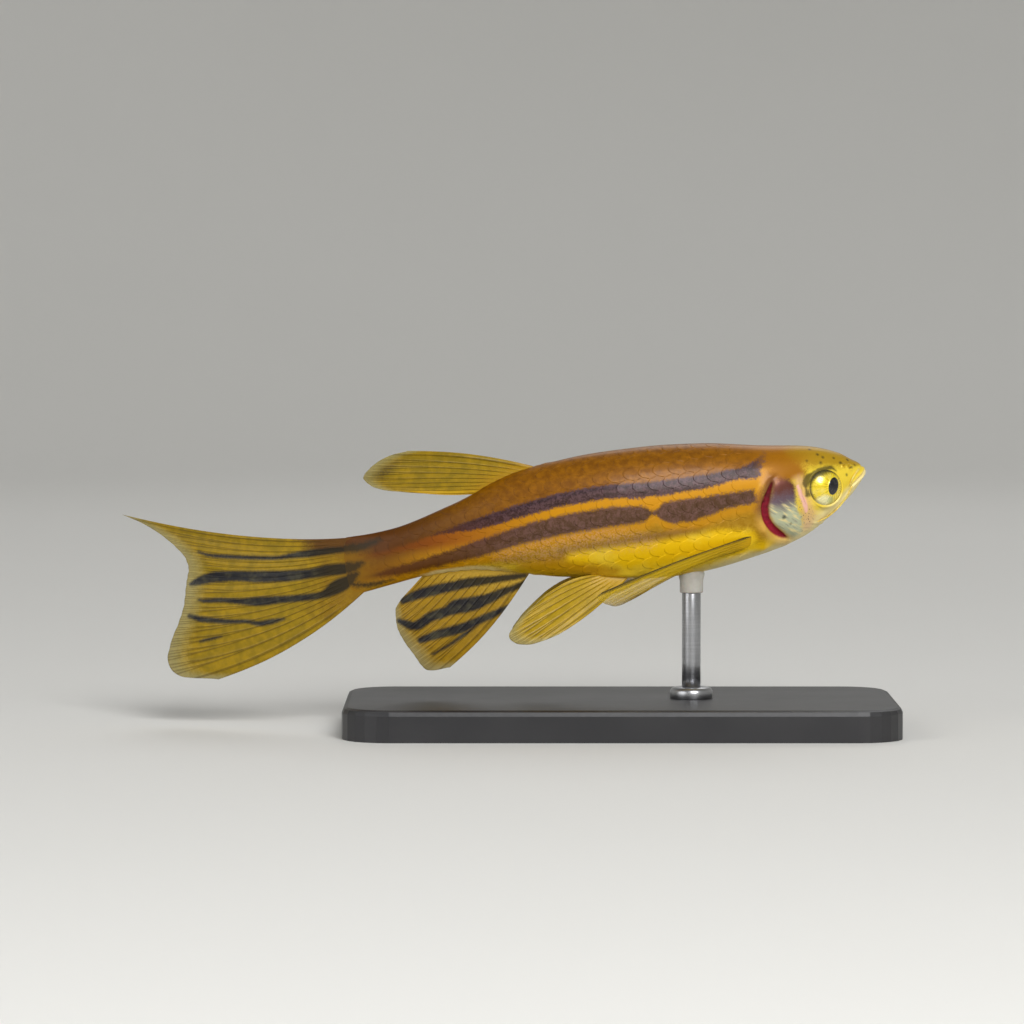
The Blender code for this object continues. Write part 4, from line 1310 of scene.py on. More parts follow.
@dataclass
class Scales:
    """Rows of thin overlapping plates over trunk and tail, laid out flat by nodes and then wrapped round the fish."""

    body: Body
    markings: Markings
    skin: Skin
    pitch_along: float = 0.94
    pitch_up: float = 0.86
    rows_along: int = 32
    rows_up: int = 13
    plate_length: float = 1.5
    plate_width: float = 1.16
    thickness: float = 0.025
    stations_along: tuple[float, ...] = (0.0, 0.45, 0.8, 0.96, 1.0)
    stations_across: tuple[float, ...] = (-1.0, -0.78, -0.3, 0.3, 0.78, 1.0)
    sinks: float = 0.022
    rises: float = 0.013
    starts: float = 7.95
    ends: float = 33.0
    size_spread: float = 0.05
    seeds: tuple[int, int] = (3, 8)

    def plate(self, material: Material) -> bpy.types.Object:
        """One flat plate with a rounded rear edge, to be repeated.

        Args:
            material: What it is finished in.

        Returns:
            A hidden object whose mesh is in millimetres.
        """
        rows, columns = len(self.stations_along), len(self.stations_across)
        u, v = np.meshgrid(self.stations_along, self.stations_across, indexing="ij")
        half = self.plate_width / 2 * (1 - 0.3 * ease(0.6, 1.0, u) - 0.25 * ease(0.4, 0.0, u))
        x = (0.3 - u) * -self.plate_length - 0.24 * ease(0.3, 1.0, u) * v * v * (1 + 0.5 * v * v)
        y = v * half
        sides_dip = 0.5 * self.rises * v**4 * ease(0.4, 1.0, u)
        z = blend(-self.sinks, self.rises, u) - sides_dip + 0.004 * (1 - v * v) * (1 - np.abs(2 * u - 1))
        top = np.stack([x, y, z], axis=-1).reshape(-1, 3)
        bottom = top - (0, 0, self.thickness)
        faces, sides = sheet_faces(rows, columns)
        every = faces.tolist() + (faces[:, ::-1] + len(top)).tolist() + sides.tolist()
        local = np.stack([u, v, 0 * u], axis=-1).reshape(-1, 3)
        fields = {"scale_place": np.concatenate([local, local])}
        made = Shape(np.concatenate([top, bottom]) / MM, every, None, fields).piece("scale_plate", material)
        made.hide_render = True
        return made

    def rows_tree(self) -> bpy.types.NodeTree:
        """The nodes that lay the plates out in staggered rows.

        Returns:
            The tree, with its sizes as named inputs.
        """
        tree = bpy.data.node_groups.new("scale_rows", "GeometryNodeTree")
        sockets = {"Int": ("Rows along", "Rows up", "Seed"), "Float": ("Pitch along", "Pitch up", "Size spread"),
                   "Object": ("Plate",), "Material": ("Material",)}
        for kind, names in sockets.items():
            for name in names:
                tree.interface.new_socket(name, in_out="INPUT", socket_type="NodeSocket" + kind)
        tree.interface.new_socket("Geometry", in_out="OUTPUT", socket_type="NodeSocketGeometry")
        n = NodeSheet(tree)
        given = n.put("NodeGroupInput").outputs
        size_x = n.times(given["Pitch along"], n.minus(given["Rows along"], 1.0))
        size_y = n.times(given["Pitch up"], n.minus(given["Rows up"], 1.0))
        grid = n.put("GeometryNodeMeshGrid", {"Size X": size_x, "Size Y": size_y, "Vertices X": given["Rows along"],
                                              "Vertices Y": given["Rows up"]})
        y = n.parts(n.put("GeometryNodeInputPosition").outputs[0])[1]
        row = n.sum("ROUND", n.plus(n.sum("DIVIDE", y, given["Pitch up"]), 40.0))
        half_odd = n.times(n.times(n.sum("MODULO", row, 2.0), given["Pitch along"]), 0.5)
        shift = n.put("ShaderNodeCombineXYZ", {0: half_odd}).outputs[0]
        moved = n.put("GeometryNodeSetPosition", {"Geometry": grid.outputs["Mesh"], "Offset": shift})
        place = n.put("GeometryNodeInputPosition").outputs[0]
        named = n.put("GeometryNodeStoreNamedAttribute", {"Geometry": moved.outputs[0], "Name": "root_place",
                                                          "Value": place}, data_type="FLOAT_VECTOR", domain="POINT")
        plate = n.put("GeometryNodeObjectInfo", {"Object": given["Plate"]})
        low, high = n.minus(1.0, given["Size spread"]), n.plus(1.0, given["Size spread"])
        sizes = n.put("FunctionNodeRandomValue", {2: low, 3: high, "Seed": given["Seed"]}, data_type="FLOAT")
        laid = n.put("GeometryNodeInstanceOnPoints", {"Points": named.outputs[0], "Scale": sizes.outputs[1],
                                                      "Instance": plate.outputs["Geometry"]})
        real = n.put("GeometryNodeRealizeInstances", {0: laid.outputs[0]})
        dressed = n.put("GeometryNodeSetMaterial", {"Geometry": real.outputs[0], "Material": given["Material"]})
        n.put("NodeGroupOutput", {"Geometry": dressed.outputs[0]})
        return tree

    def laid_out(self, tree: bpy.types.NodeTree, plate: bpy.types.Object, seed: int,
                 material: Material) -> bpy.types.Mesh:
        """Runs the nodes once.

        Args:
            tree: The rows' nodes.
            plate: The plate that is repeated.
            seed: The seed for the plates' sizes.
            material: What they are finished in.

        Returns:
            The flat rows of one side as a plain mesh, in millimetres.
        """
        bed = placed("scale_bed", bpy.data.meshes.new("scale_bed"))
        modifier = bed.modifiers.new("rows", "NODES")
        modifier.node_group = tree
        values = {"Rows along": self.rows_along, "Rows up": self.rows_up, "Pitch along": self.pitch_along,
                  "Pitch up": self.pitch_up, "Size spread": self.size_spread, "Seed": seed, "Plate": plate,
                  "Material": material}
        for item in tree.interface.items_tree:
            if item.in_out == "INPUT":
                modifier[item.identifier] = values[item.name]
        bpy.context.view_layer.update()
        graph = bpy.context.evaluated_depsgraph_get()
        mesh = bpy.data.meshes.new_from_object(bed.evaluated_get(graph))
        bpy.data.objects.remove(bed)
        return mesh

    def turns(self, s: Array, rise: Array) -> Array:
        """The angle down from the back at a distance up the flank from the midline.

        Args:
            s: Lengths back from the snout.
            rise: Distances over the skin, up from the midline.

        Returns:
            The angles, past 0 or 180 where the distance passes the back or belly.
        """
        stations = np.arange(6.5, 35.1, 0.25)
        degrees = np.arange(-40, 221, 2.0)
        levels = np.arange(-7.5, 7.6, 0.05)
        ring = self.body.surface(stations[:, None], degrees[None, :])
        steps = length(np.diff(ring, axis=1)[..., 1:])
        run = np.concatenate([np.zeros((len(stations), 1)), np.cumsum(steps, axis=1)], axis=1)
        middle = np.array([np.interp(90, degrees, row) for row in run])
        table = np.array([np.interp(-levels + m, row, degrees) for m, row in zip(middle, run)])
        i = np.clip((s - stations[0]) / 0.25, 0, len(stations) - 1.001)
        j = np.clip((rise - levels[0]) / 0.05, 0, len(levels) - 1.001)
        a, b = i.astype(int), j.astype(int)
        p, q = i - a, j - b
        return ((table[a, b] * (1 - p) + table[a + 1, b] * p) * (1 - q)
                + (table[a, b + 1] * (1 - p) + table[a + 1, b + 1] * p) * q)

    def wrapped(self, mesh: bpy.types.Mesh, side: Side) -> Shape:
        """Wraps one side's flat rows round the body.

        Args:
            mesh: The flat rows.
            side: Which side.

        Returns:
            The scales of that side.
        """
        count = len(mesh.vertices)
        flat, root, local = (np.empty(count * 3, np.float32) for _ in range(3))
        mesh.vertices.foreach_get("co", flat)
        mesh.attributes["root_place"].data.foreach_get("vector", root)
        mesh.attributes["scale_place"].data.foreach_get("vector", local)
        flat, root, local = (a.reshape(-1, 3).astype(float) for a in (flat, root, local))
        shift = (self.starts + self.ends) / 2
        s, root_s = flat[:, 0] + shift, root[:, 0] + shift
        degrees, root_turn = self.turns(s, flat[:, 1]), self.turns(root_s, root[:, 1])
        place = self.body.surface(s, side.value * degrees)
        place[:, 1] *= self.skin.thinning(s)
        out = self.body.outward(s, side.value * degrees)
        shrink = (1 - 0.6 * ease(29, 34, s)) * (0.35 + 0.65 * ease(2, 30, degrees) * ease(178, 155, degrees))
        points = self.body.posed(place) + out * ((flat[:, 2] * shrink - self.skin.inset)[:, None])
        ridge_gap = 0.1 if side is Side.RIGHT else 0.5
        _, reach, high = self.body.surface(root_s, root_turn).T
        kept = (root_s > self.starts - 0.35) & (root_s < self.ends) & (root_turn > 0) & (root_turn < 180)
        kept &= (np.abs(reach) > ridge_gap) & (self.markings.gill.depth(root_s, high) < -0.45)
        faces = [tuple(p.vertices) for p in mesh.polygons]
        faces = [f for f in faces if kept[f[0]]]
        used = np.zeros(count, bool)
        used[np.unique(np.concatenate([np.array(f) for f in faces]))] = True
        number = np.cumsum(used) - 1
        faces = [tuple(int(number[v]) for v in (f[::-1] if side is Side.RIGHT else f)) for f in faces]
        centre = self.skin.unwrapped(root_s, side.value * root_turn)
        patch = centre + (local[:, :2] * (1, 0.5) - (0.5, 0)) * 0.003
        fields = self.markings.fields(self.body, place)
        fields["scale_place"] = local
        fields = {name: value[used] for name, value in fields.items()}
        corners = np.concatenate([patch[used][list(f)] for f in faces])
        return Shape(points[used], faces, corners, fields)

    def build(self, material: Material) -> Shape:
        """Builds both sides' scales.

        Args:
            material: What they are finished in.

        Returns:
            The scales as one shape.
        """
        plate, tree = self.plate(material), self.rows_tree()
        sides = []
        for side, seed in zip(Side, self.seeds):
            mesh = self.laid_out(tree, plate, seed, material)
            sides.append(self.wrapped(mesh, side))
            bpy.data.meshes.remove(mesh)
        bpy.data.objects.remove(plate)
        return joined(sides)


# The fins


class Growth(Enum):
    """What a fin grows from."""

    BACK = "back"
    BELLY = "belly"
    TAIL = "tail"
    FLANK = "flank"


@dataclass
class Fin:
    """A thin fin with branching, jointed rays, from a root sunk in the flesh to its margin."""

    name: str
    node: str
    slot: str
    body: Body
    grows_from: Growth
    root: tuple
    margin: Keys
    bow: tuple[float, float]
    rays: int
    finish: FinFinish
    side: Side = Side.RIGHT
    strokes: tuple[Stroke, ...] = ()
    glow_edge: float = 0.0
    smoke: float = 0.0
    sunk: float = 0.4
    swelling: float = 0.06
    swelling_reach: float = 0.35
    membrane: float = 0.07
    ray_thickness: float = 0.12
    fleshy: float = 0.1
    dark_lead: float = 0.0
    brown_root: float = 0.0
    brown_above: float = -99.0
    rows: int = 90
    columns_to_ray: int = 14
    branches_from: float = 0.42
    scallop: float = 0.001
    corner: tuple[float, float] = (0.04, 0.03)
    sway_tip: tuple[float, float] = (0.0, 0.0)
    stiff_root: float = 0.0
    lobe_lean: float = 0.0
    lobe_curl: float = 0.0

    def root_line(self, across: Array, depth: float) -> Array:
        """The line that the fin grows from.

        Args:
            across: Shares of the way along it.
            depth: How far inside the skin it lies.

        Returns:
            (s, w, h) at each share.
        """
        (s_a, h_a), (s_b, h_b) = self.root
        s, h = blend(s_a, s_b, across), blend(h_a, h_b, across)
        if self.grows_from is Growth.BACK:
            return np.stack([s, 0 * s, smooth(self.body.height_above, s) - depth], axis=-1)
        if self.grows_from is Growth.BELLY:
            return np.stack([s, 0 * s, depth - smooth(self.body.depth_below, s)], axis=-1)
        if self.grows_from is Growth.TAIL:
            return np.stack([self.body.tail_end(h) - depth, 0 * h, h], axis=-1)
        return np.stack([s, self.side.value * (self.body.side_reach(s, h) - depth), h], axis=-1)

    def sway(self, along: Array, across: Array) -> Array:
        """How far the fin leans to the fish's right.

        Args:
            along: Shares of the way from the root to the margin.
            across: Shares of the way from the first ray to the last.

        Returns:
            The lean at each pair.
        """
        along = np.clip((along - self.stiff_root) / (1 - self.stiff_root), 0, 1)
        tip, across_loss = self.sway_tip
        lean = tip * along**2 * (1 - across_loss * across)
        upper = np.clip(1 - across / 0.55, 0, 1) ** 1.3
        lower = np.clip((across - 0.6) / 0.4, 0, 1)
        return lean - self.lobe_lean * upper * along**1.4 - self.lobe_curl * lower * along**2

    def ridges(self, along: Array, count: Array) -> Array:
        """How much of a ray lies at each place, where each ray splits in two and then in four.

        Args:
            along: Shares of the way from the root to the margin.
            count: Places across, in rays.

        Returns:
            0 on the membrane to 1 on a ray.
        """
        phase = np.mod(count, 1.0) - 0.5
        split = ease(self.branches_from, 1.0, along) * 0.22
        second = ease(self.branches_from + 0.28, 1.02, along) * 0.11
        width = blend(0.15, 0.06, along)
        first = (count < 1) | (count > self.rays - 1)
        split, second = np.where(first, 0.0, split), np.where(first, 0.0, second)
        gap = np.abs(np.abs(np.abs(phase) - split) - second)
        gap = np.where(split + second < 0.004, np.abs(phase), gap)
        crest = np.clip(1 - (gap / np.where(first, width * 1.6, width)) ** 2, 0, 1) ** 0.6
        return crest * ease(0.05, 0.2, along)

    def sheet(self) -> tuple[Array, Array, Array, Array]:
        """The fin's middle surface.

        Returns:
            Its grid (s, w, h), the shares along and across, and the ridges.
        """
        along = np.linspace(0, 1, self.rows)[:, None]
        across = np.linspace(0, 1, self.rays * self.columns_to_ray + 1)
        count = across[None, :] * self.rays
        reach = np.stack([smooth(tuple((m[0], m[k]) for m in self.margin), across) for k in (1, 2, 3)], axis=-1)
        if self.grows_from is Growth.FLANK:
            reach[:, 1] *= self.side.value
        corner = 1 - (self.corner[0] * hump(across, 0.04) + self.corner[1] * hump(1 - across, 0.04))[None, :]
        notch = corner - self.scallop * (1 - np.cos(2 * np.pi * (count - 0.5))) * ease(0.8, 1.0, along)
        share = along * notch
        root = self.root_line(across, self.sunk)
        grid = blend(root[None], reach[None], share[..., None])
        grid[..., 2] += np.sin(np.pi * share) * blend(self.bow[0], self.bow[1], across)[None, :]
        grid[..., 1] += self.sway(share, across[None, :])
        grid[..., 1] += 0.05 * np.sin(count * 1.3 + 4 * along) * ease(0.25, 1.0, along)
        return grid, along + 0 * count, across[None, :] + 0 * along, self.ridges(share, count)

    def build(self) -> Shape:
        """Builds the fin.

        Returns:
            A closed two-faced sheet with its values and unwrap.
        """
        grid, along, across, ridge = self.sheet()
        middle = self.body.posed(grid)
        normal = unit(np.cross(np.gradient(middle, axis=0), np.gradient(middle, axis=1)))
        thick = self.membrane * blend(1.0, 0.55, along) + ridge * self.ray_thickness * blend(1.0, 0.3, along)
        thick += self.fleshy * ease(0.2, 0.02, along)
        count = across * self.rays
        thick *= 0.25 + 0.75 * np.sqrt(np.clip(np.minimum(count, self.rays - count) / 0.22, 0, 1))
        thick *= blend(1.0, 0.4, ease(0.96, 1.0, along))
        rows, columns = along.shape
        faces, sides = sheet_faces(rows, columns)
        points = np.concatenate([(middle + normal * thick[..., None] * k / 2).reshape(-1, 3) for k in (1, -1)])
        every = faces.tolist() + (faces[:, ::-1] + rows * columns).tolist() + sides.tolist()
        place = np.stack([across, along], axis=-1).reshape(-1, 2)
        front, back = place * (0.48, 0.98) + (0.005, 0.01), place * (0.48, 0.98) + (0.515, 0.01)
        walk = np.arange(len(sides) + 1) / len(sides) * 0.98 + 0.01
        strip = np.stack([np.stack([0 * walk[1:] + u, v], -1) for u, v in
                          ((0.495, walk[:-1]), (0.495, walk[1:]), (0.505, walk[1:]), (0.505, walk[:-1]))], axis=1)
        corners = np.concatenate([front[faces.ravel()], back[faces[:, ::-1].ravel()], strip.reshape(-1, 2)])
        flat = grid.reshape(-1, 3)
        mark = np.full(len(flat), -1.0)
        for stroke in self.strokes:
            mark = np.maximum(mark, stroke.depth(flat[:, 0], flat[:, 2]))
        haze = self.smoke * hump(along - 0.88, 0.1) * hump(across - 0.36, 0.3) * 0.5 - 0.24
        # lead: dark along the first ray; on the pectorals this is partly painted shade, so the clear fin reads as a
        # dark edge-on line
        lead = np.minimum(0.16, self.dark_lead - across * self.rays * 0.4)
        for layer, used in ((haze, self.smoke), (lead, self.dark_lead)):
            mark = np.maximum(mark, layer.ravel()) if used > 0 else mark
        run = np.concatenate([np.zeros((1, columns)), np.cumsum(length(np.diff(middle, axis=0)), axis=0)])
        high = ease(self.brown_above - 0.4, self.brown_above + 0.2, grid[..., 2])
        glow = ease(0.7, 1.0, across) * self.glow_edge - self.brown_root * ease(0.34, 0.1, along) * high
        fields = {
            "fish": flat,
            "fin_place": np.stack([along.ravel(), across.ravel() * self.rays, run.ravel()], axis=-1),
            "fin_form": np.stack([ridge.ravel(), mark, glow.ravel()], axis=-1),
        }
        return Shape(points, every, corners, {name: np.concatenate([v, v]) for name, v in fields.items()})


def with_no_width(margin: Keys) -> Keys:
    """A middle fin's margin (across, s, h), with a w of nothing put in."""
    return tuple((v, s, 0.0, h) for v, s, h in margin)


def all_fins(body: Body) -> list[Fin]:
    """The fish's seven fins.

    Args:
        body: The fish's shape.

    Returns:
        The fins, with the sizes of the solids they replace.
    """
    plain = FinFinish("danio_fin")
    bright = FinFinish("danio_pelvic_fin", membrane=paint(164, 134, 4), root=paint(190, 148, 8),
                       glow=paint(204, 164, 10))
    striped = FinFinish("danio_striped_fin", root=paint(128, 90, 4))
    sandy = FinFinish("danio_anal_fin", membrane=paint(148, 114, 14), root=paint(190, 154, 50),
                      glow=paint(186, 142, 16))
    sheer = FinFinish("danio_pectoral", clearness=0.5, ray_solid=0.8, clear_root=-0.2, membrane=paint(204, 170, 20),
                      root=paint(218, 174, 20), glow=paint(216, 180, 20), ray=paint(96, 78, 12),
                      stripe=paint(60, 48, 8), edge=paint(150, 128, 40), edge_share=0.3)
    caudal_strokes = (
        Stroke(((33.3, 1.15, 0.3), (34.9, 1.2, 0.4), (35.9, 1.18, 0.44), (37.4, 1.11, 0.3), (38.6, 1.01, 0.18),
                (40.3, 1.09, 0.2), (42, 1.21, 0.2), (43.4, 1.35, 0.14), (44.1, 1.57, 0.06))),
        Stroke(((33.3, -0.05, 0.6), (35, -0.01, 0.7), (36.3, -0.12, 0.58), (38, -0.17, 0.66), (39.6, -0.14, 0.68),
                (41.3, -0.03, 0.6), (42.6, -0.03, 0.66), (43.7, -0.23, 0.5), (44.3, -0.42, 0.2))),
        Stroke(((33.5, -0.7, 0.5), (34.6, -1.1, 0.86), (35.8, -1.55, 0.4), (37.1, -1.62, 0.4), (38.4, -1.64, 0.44),
                (39.7, -1.69, 0.56), (41, -1.63, 0.34), (42.4, -1.51, 0.26), (43.4, -1.51, 0.2), (43.8, -1.44, 0.1))),
        Stroke(((38.2, -2.88, 0.1), (39.2, -3.04, 0.32), (39.8, -3.1, 0.28), (40.8, -2.92, 0.2), (41.8, -2.89, 0.24),
                (43, -2.78, 0.3), (43.8, -2.67, 0.32), (44.5, -2.45, 0.2))),
        Stroke(((42.4, -3.83, 0.05), (43.2, -3.97, 0.16), (43.9, -4.12, 0.08))),
    )
    anal_strokes = (
        Stroke(((22.9, -2.85, 0.3), (24.8, -2.66, 0.44), (27, -2.48, 0.6), (29.4, -2.46, 0.62), (30.8, -2.66, 0.4))),
        Stroke(((22.7, -3.1, 0.2), (23.4, -3.38, 0.34), (24.4, -3.54, 0.44), (25.6, -3.77, 0.64), (26.6, -3.86, 0.86),
                (27.6, -3.8, 0.9), (28.3, -3.95, 0.6), (29.3, -4.05, 0.6), (30.4, -4.4, 0.56), (31.3, -3.9, 0.3))),
        Stroke(((24.3, -4.5, 0.14), (25.2, -4.75, 0.38), (26.4, -4.97, 0.44), (27.8, -5.22, 0.58), (29.1, -5.24, 0.52),
                (30.3, -5.36, 0.38))),
        Stroke(((26.6, -5.25, 0.1), (27.4, -5.56, 0.18), (28.8, -6.11, 0.16), (29.8, -6.39, 0.1))),
    )
    fins = [
        Fin("dorsal_fin_rayed", "dorsal_fin", "fin", body, Growth.BACK, ((20.3, 0), (24.2, 0)),
            with_no_width(((0, 28.6, 6.62), (0.12, 29.9, 6.42), (0.3, 31.0, 6.0), (0.5, 31.65, 5.45),
                           (0.66, 31.3, 4.95), (0.82, 30.5, 4.5), (1, 28.8, 3.98))),
            (0.34, -0.16), 9, plain, glow_edge=1.0, smoke=0.42, brown_root=0.15, sway_tip=(0.7, 0.5), rows=110),
        Fin("anal_fin_rayed", "anal_fin", "striped_fin", body, Growth.BELLY, ((22.3, 0), (28.8, 0)),
            with_no_width(((0, 29.3, -7.64), (0.1, 30.4, -7.3), (0.3, 30.9, -6.2), (0.5, 31.3, -5.2),
                           (0.7, 31.52, -4.1), (0.86, 31.42, -3.2), (1, 31.0, -2.6))),
            (-0.5, 0.0), 13, sandy, strokes=anal_strokes, sway_tip=(-0.5, 0.4), rows=100),
        Fin("caudal_fin_rayed", "caudal_fin", "striped_fin", body, Growth.TAIL, ((0, 1.84), (0, -1.6)),
            with_no_width(((0, 50.2, 4.05), (0.04, 48.9, 3.6), (0.1, 47.3, 2.85), (0.18, 45.9, 1.95),
                           (0.28, 45.0, 1.15), (0.4, 44.6, 0.3), (0.5, 44.65, -0.5), (0.6, 44.8, -1.6),
                           (0.7, 45.25, -2.8), (0.8, 45.95, -4.1), (0.88, 46.3, -5.3), (0.95, 45.6, -6.4),
                           (1, 43.6, -6.8))),
            (-0.35, -0.68), 18, striped, strokes=caudal_strokes, sunk=0.9, rows=110, fleshy=0.05, corner=(0.0, 0.06),
            brown_root=1.0, brown_above=1.3, stiff_root=0.12, lobe_lean=2.9, lobe_curl=0.7),
    ]
    for side in Side:
        label = side.name.lower()
        fins.append(Fin(
            f"pelvic_fin_rayed_{label}", f"pelvic_fin_{label}", "fin", body, Growth.FLANK,
            ((16.1, -3.95), (17.7, -3.62)),
            ((0, 21.7, 1.95, -6.9), (0.2, 23.3, 2.15, -7.05), (0.4, 24.35, 2.3, -6.75), (0.55, 24.65, 2.35, -6.25),
             (0.75, 23.95, 2.2, -5.5), (1, 22.0, 1.75, -4.3)),
            (-0.36, 0.38), 7, bright, side=side, rows=80, swelling=0.1))
        # The pectorals' dark leading edge is their darker first ray, with painted shade that makes the clear fin read
        # as a dark edge-on line
        fins.append(Fin(
            f"pectoral_fin_rayed_{label}", f"pectoral_fin_{label}", "fin", body, Growth.FLANK,
            ((7.7, -2.4), (7.8, -3.4)),
            ((0, 18.84, 5.4, -4.51), (0.25, 18.42, 5.15, -5.0), (0.5, 17.5, 4.5, -5.42), (0.75, 16.5, 3.75, -5.2),
             (1, 15.4, 3.05, -4.7)),
            (0.25, 0.5), 8, sheer, side=side, rows=80, swelling=0.22, swelling_reach=0.5, fleshy=0.2, dark_lead=0.16))
    return fins


# Eyes, barbels and stand


@dataclass
class Eye:
    """A domed eye with a rim of skin round it."""

    body: Body
    seat: EyeSeat
    side: Side
    rings: int = 44
    around: int = 96
    back_reach: float = 0.5
    pupil_bulge: float = 0.03
    rim_radius: float = 0.085

    def build(self, finish: EyeFinish) -> Shape:
        """Builds the eye.

        Args:
            finish: The eye's finish, whose pupil stands out a little.

        Returns:
            A closed shape with its eye_plane.
        """
        turns = np.arange(self.around) * 2 * np.pi / self.around
        out_to_edge = np.linspace(0, 1, self.rings)[1:]
        back = np.linspace(0, np.pi / 2, 9)[1:-1]
        far = np.concatenate([out_to_edge, np.cos(back)]) * self.seat.radius
        edge = self.seat.dome(np.array(self.seat.radius))
        depth = np.concatenate([self.seat.dome(out_to_edge * self.seat.radius),
                                edge - np.sin(back) * self.back_reach])
        x, y = far[:, None] * np.cos(turns), far[:, None] * np.sin(turns)
        lean = math.radians(finish.pupil_lean)
        dx, dy = x - finish.pupil_at[0], y - finish.pupil_at[1]
        u = (dx * math.cos(lean) - dy * math.sin(lean)) / finish.pupil[0]
        v = (dx * math.sin(lean) + dy * math.cos(lean)) / finish.pupil[1]
        front = (np.arange(len(far)) < len(out_to_edge))[:, None]
        z = depth[:, None] + self.pupil_bulge * ease(1.25, 0.8, np.hypot(u, v)) * front
        plane = np.stack([x, y, z], axis=-1).reshape(-1, 3)
        plane = np.concatenate([plane, [[0, 0, self.seat.half_depth], [0, 0, edge - self.back_reach]]])
        centre, ahead, up, out = self.seat.axes(self.body, self.side)
        points = centre + plane @ np.stack([ahead, up, out])
        faces = capped_rings(len(far), self.around, self.side is Side.RIGHT)
        return Shape(points, faces, None, {"eye_plane": plane})

    def rim(self, markings: Markings) -> Shape:
        """The thin rim of skin that laps onto the eye.

        Args:
            markings: The fish's markings.

        Returns:
            A closed ring with the markings' values, joined to the skin later.
        """
        turns = np.linspace(0, 2 * np.pi, self.around, endpoint=False)
        section = np.linspace(0, 2 * np.pi, 12, endpoint=False)
        far = self.seat.radius + 0.05 + self.rim_radius * np.cos(section)
        z = self.seat.dome(np.array(self.seat.radius)) + 0.5 * self.rim_radius * np.sin(section)
        plane = np.stack([np.cos(turns)[:, None] * far, np.sin(turns)[:, None] * far, z + 0 * turns[:, None]], -1)
        centre, ahead, up, out = self.seat.axes(self.body, self.side)
        points = (centre + plane @ np.stack([ahead, up, out])).reshape(-1, 3)
        rows = self.around
        faces = grid_faces(rows + 1, 12, wrap=True) % (rows * 12)
        if self.side is Side.LEFT:
            faces = faces[:, ::-1]
        s = self.seat.at[0] - plane[..., 0].ravel() * 0.97
        h = self.seat.at[1] + plane[..., 1].ravel()
        place = np.stack([s, self.side.value * self.body.side_reach(s, h), h], axis=-1)
        u, v = np.meshgrid(np.arange(rows) / rows, np.arange(12) / 12, indexing="ij")
        spot = np.array([0.985, 0.2 if self.side is Side.RIGHT else 0.8])
        patch = (np.stack([v, u], axis=-1).reshape(-1, 2) - 0.5) * (0.01, 0.1) + spot
        return Shape(points, faces.tolist(), patch[faces.ravel()], markings.fields(self.body, place))


@dataclass
class Barbels:
    """The two pairs of short feelers at the mouth."""

    body: Body
    lip: Keys = ((0.62, 0.22), (0.9, 0.05), (1.25, -0.25), (1.56, -0.62))
    jaw: Keys = ((1.28, -0.72), (1.75, -1.35), (2.4, -1.95), (3.2, -2.35), (4.0, -2.5))
    radius: float = 0.085
    tip_share: float = 0.45
    flesh: Colour = paint(234, 208, 104)
    dusting: Colour = paint(196, 162, 54)

    def build(self) -> Shape:
        """Builds all four.

        Returns:
            Tapering rods whose roots are sunk in the skin.
        """
        rods = []
        for side in Side:
            for route in (self.lip, self.jaw):
                at = np.linspace(0, len(route) - 1, 26)
                s, h = through(route, at).T
                stand_off = blend(-0.1, 0.1, np.linspace(0, 1, len(at)))
                line = np.stack([s, side.value * (self.body.side_reach(s, h) + stand_off), h], axis=-1)
                radii = self.radius * blend(1.0, self.tip_share, np.linspace(0, 1, len(at)))
                radii[-1] *= 0.5
                rod = rod_shape(self.body.posed(line), radii)
                rod.fields = {"fish": np.concatenate([np.repeat(line, 10, axis=0), line[:1], line[-1:]])}
                rods.append(rod)
        return joined(rods)

    def material(self) -> Material:
        """Pale flesh with a dusting of brown.

        Returns:
            The material.
        """
        material, n, shader = fresh_material("danio_barbel")
        grain = n.noise(n.held("fish"), 1.8, 2.0, 0.6)
        feed(shader, {"Base Color": n.mix(n.rise(grain, 0.4, 0.7), self.flesh, self.dusting),
                      "Roughness": n.span(grain, 0.3, 0.5), "Normal": n.bump(grain, 0.4, 0.02 * MM),
                      "Coat Weight": 0.3, "Subsurface Weight": 0.2, "Subsurface Scale": 0.3 * MM})
        return material


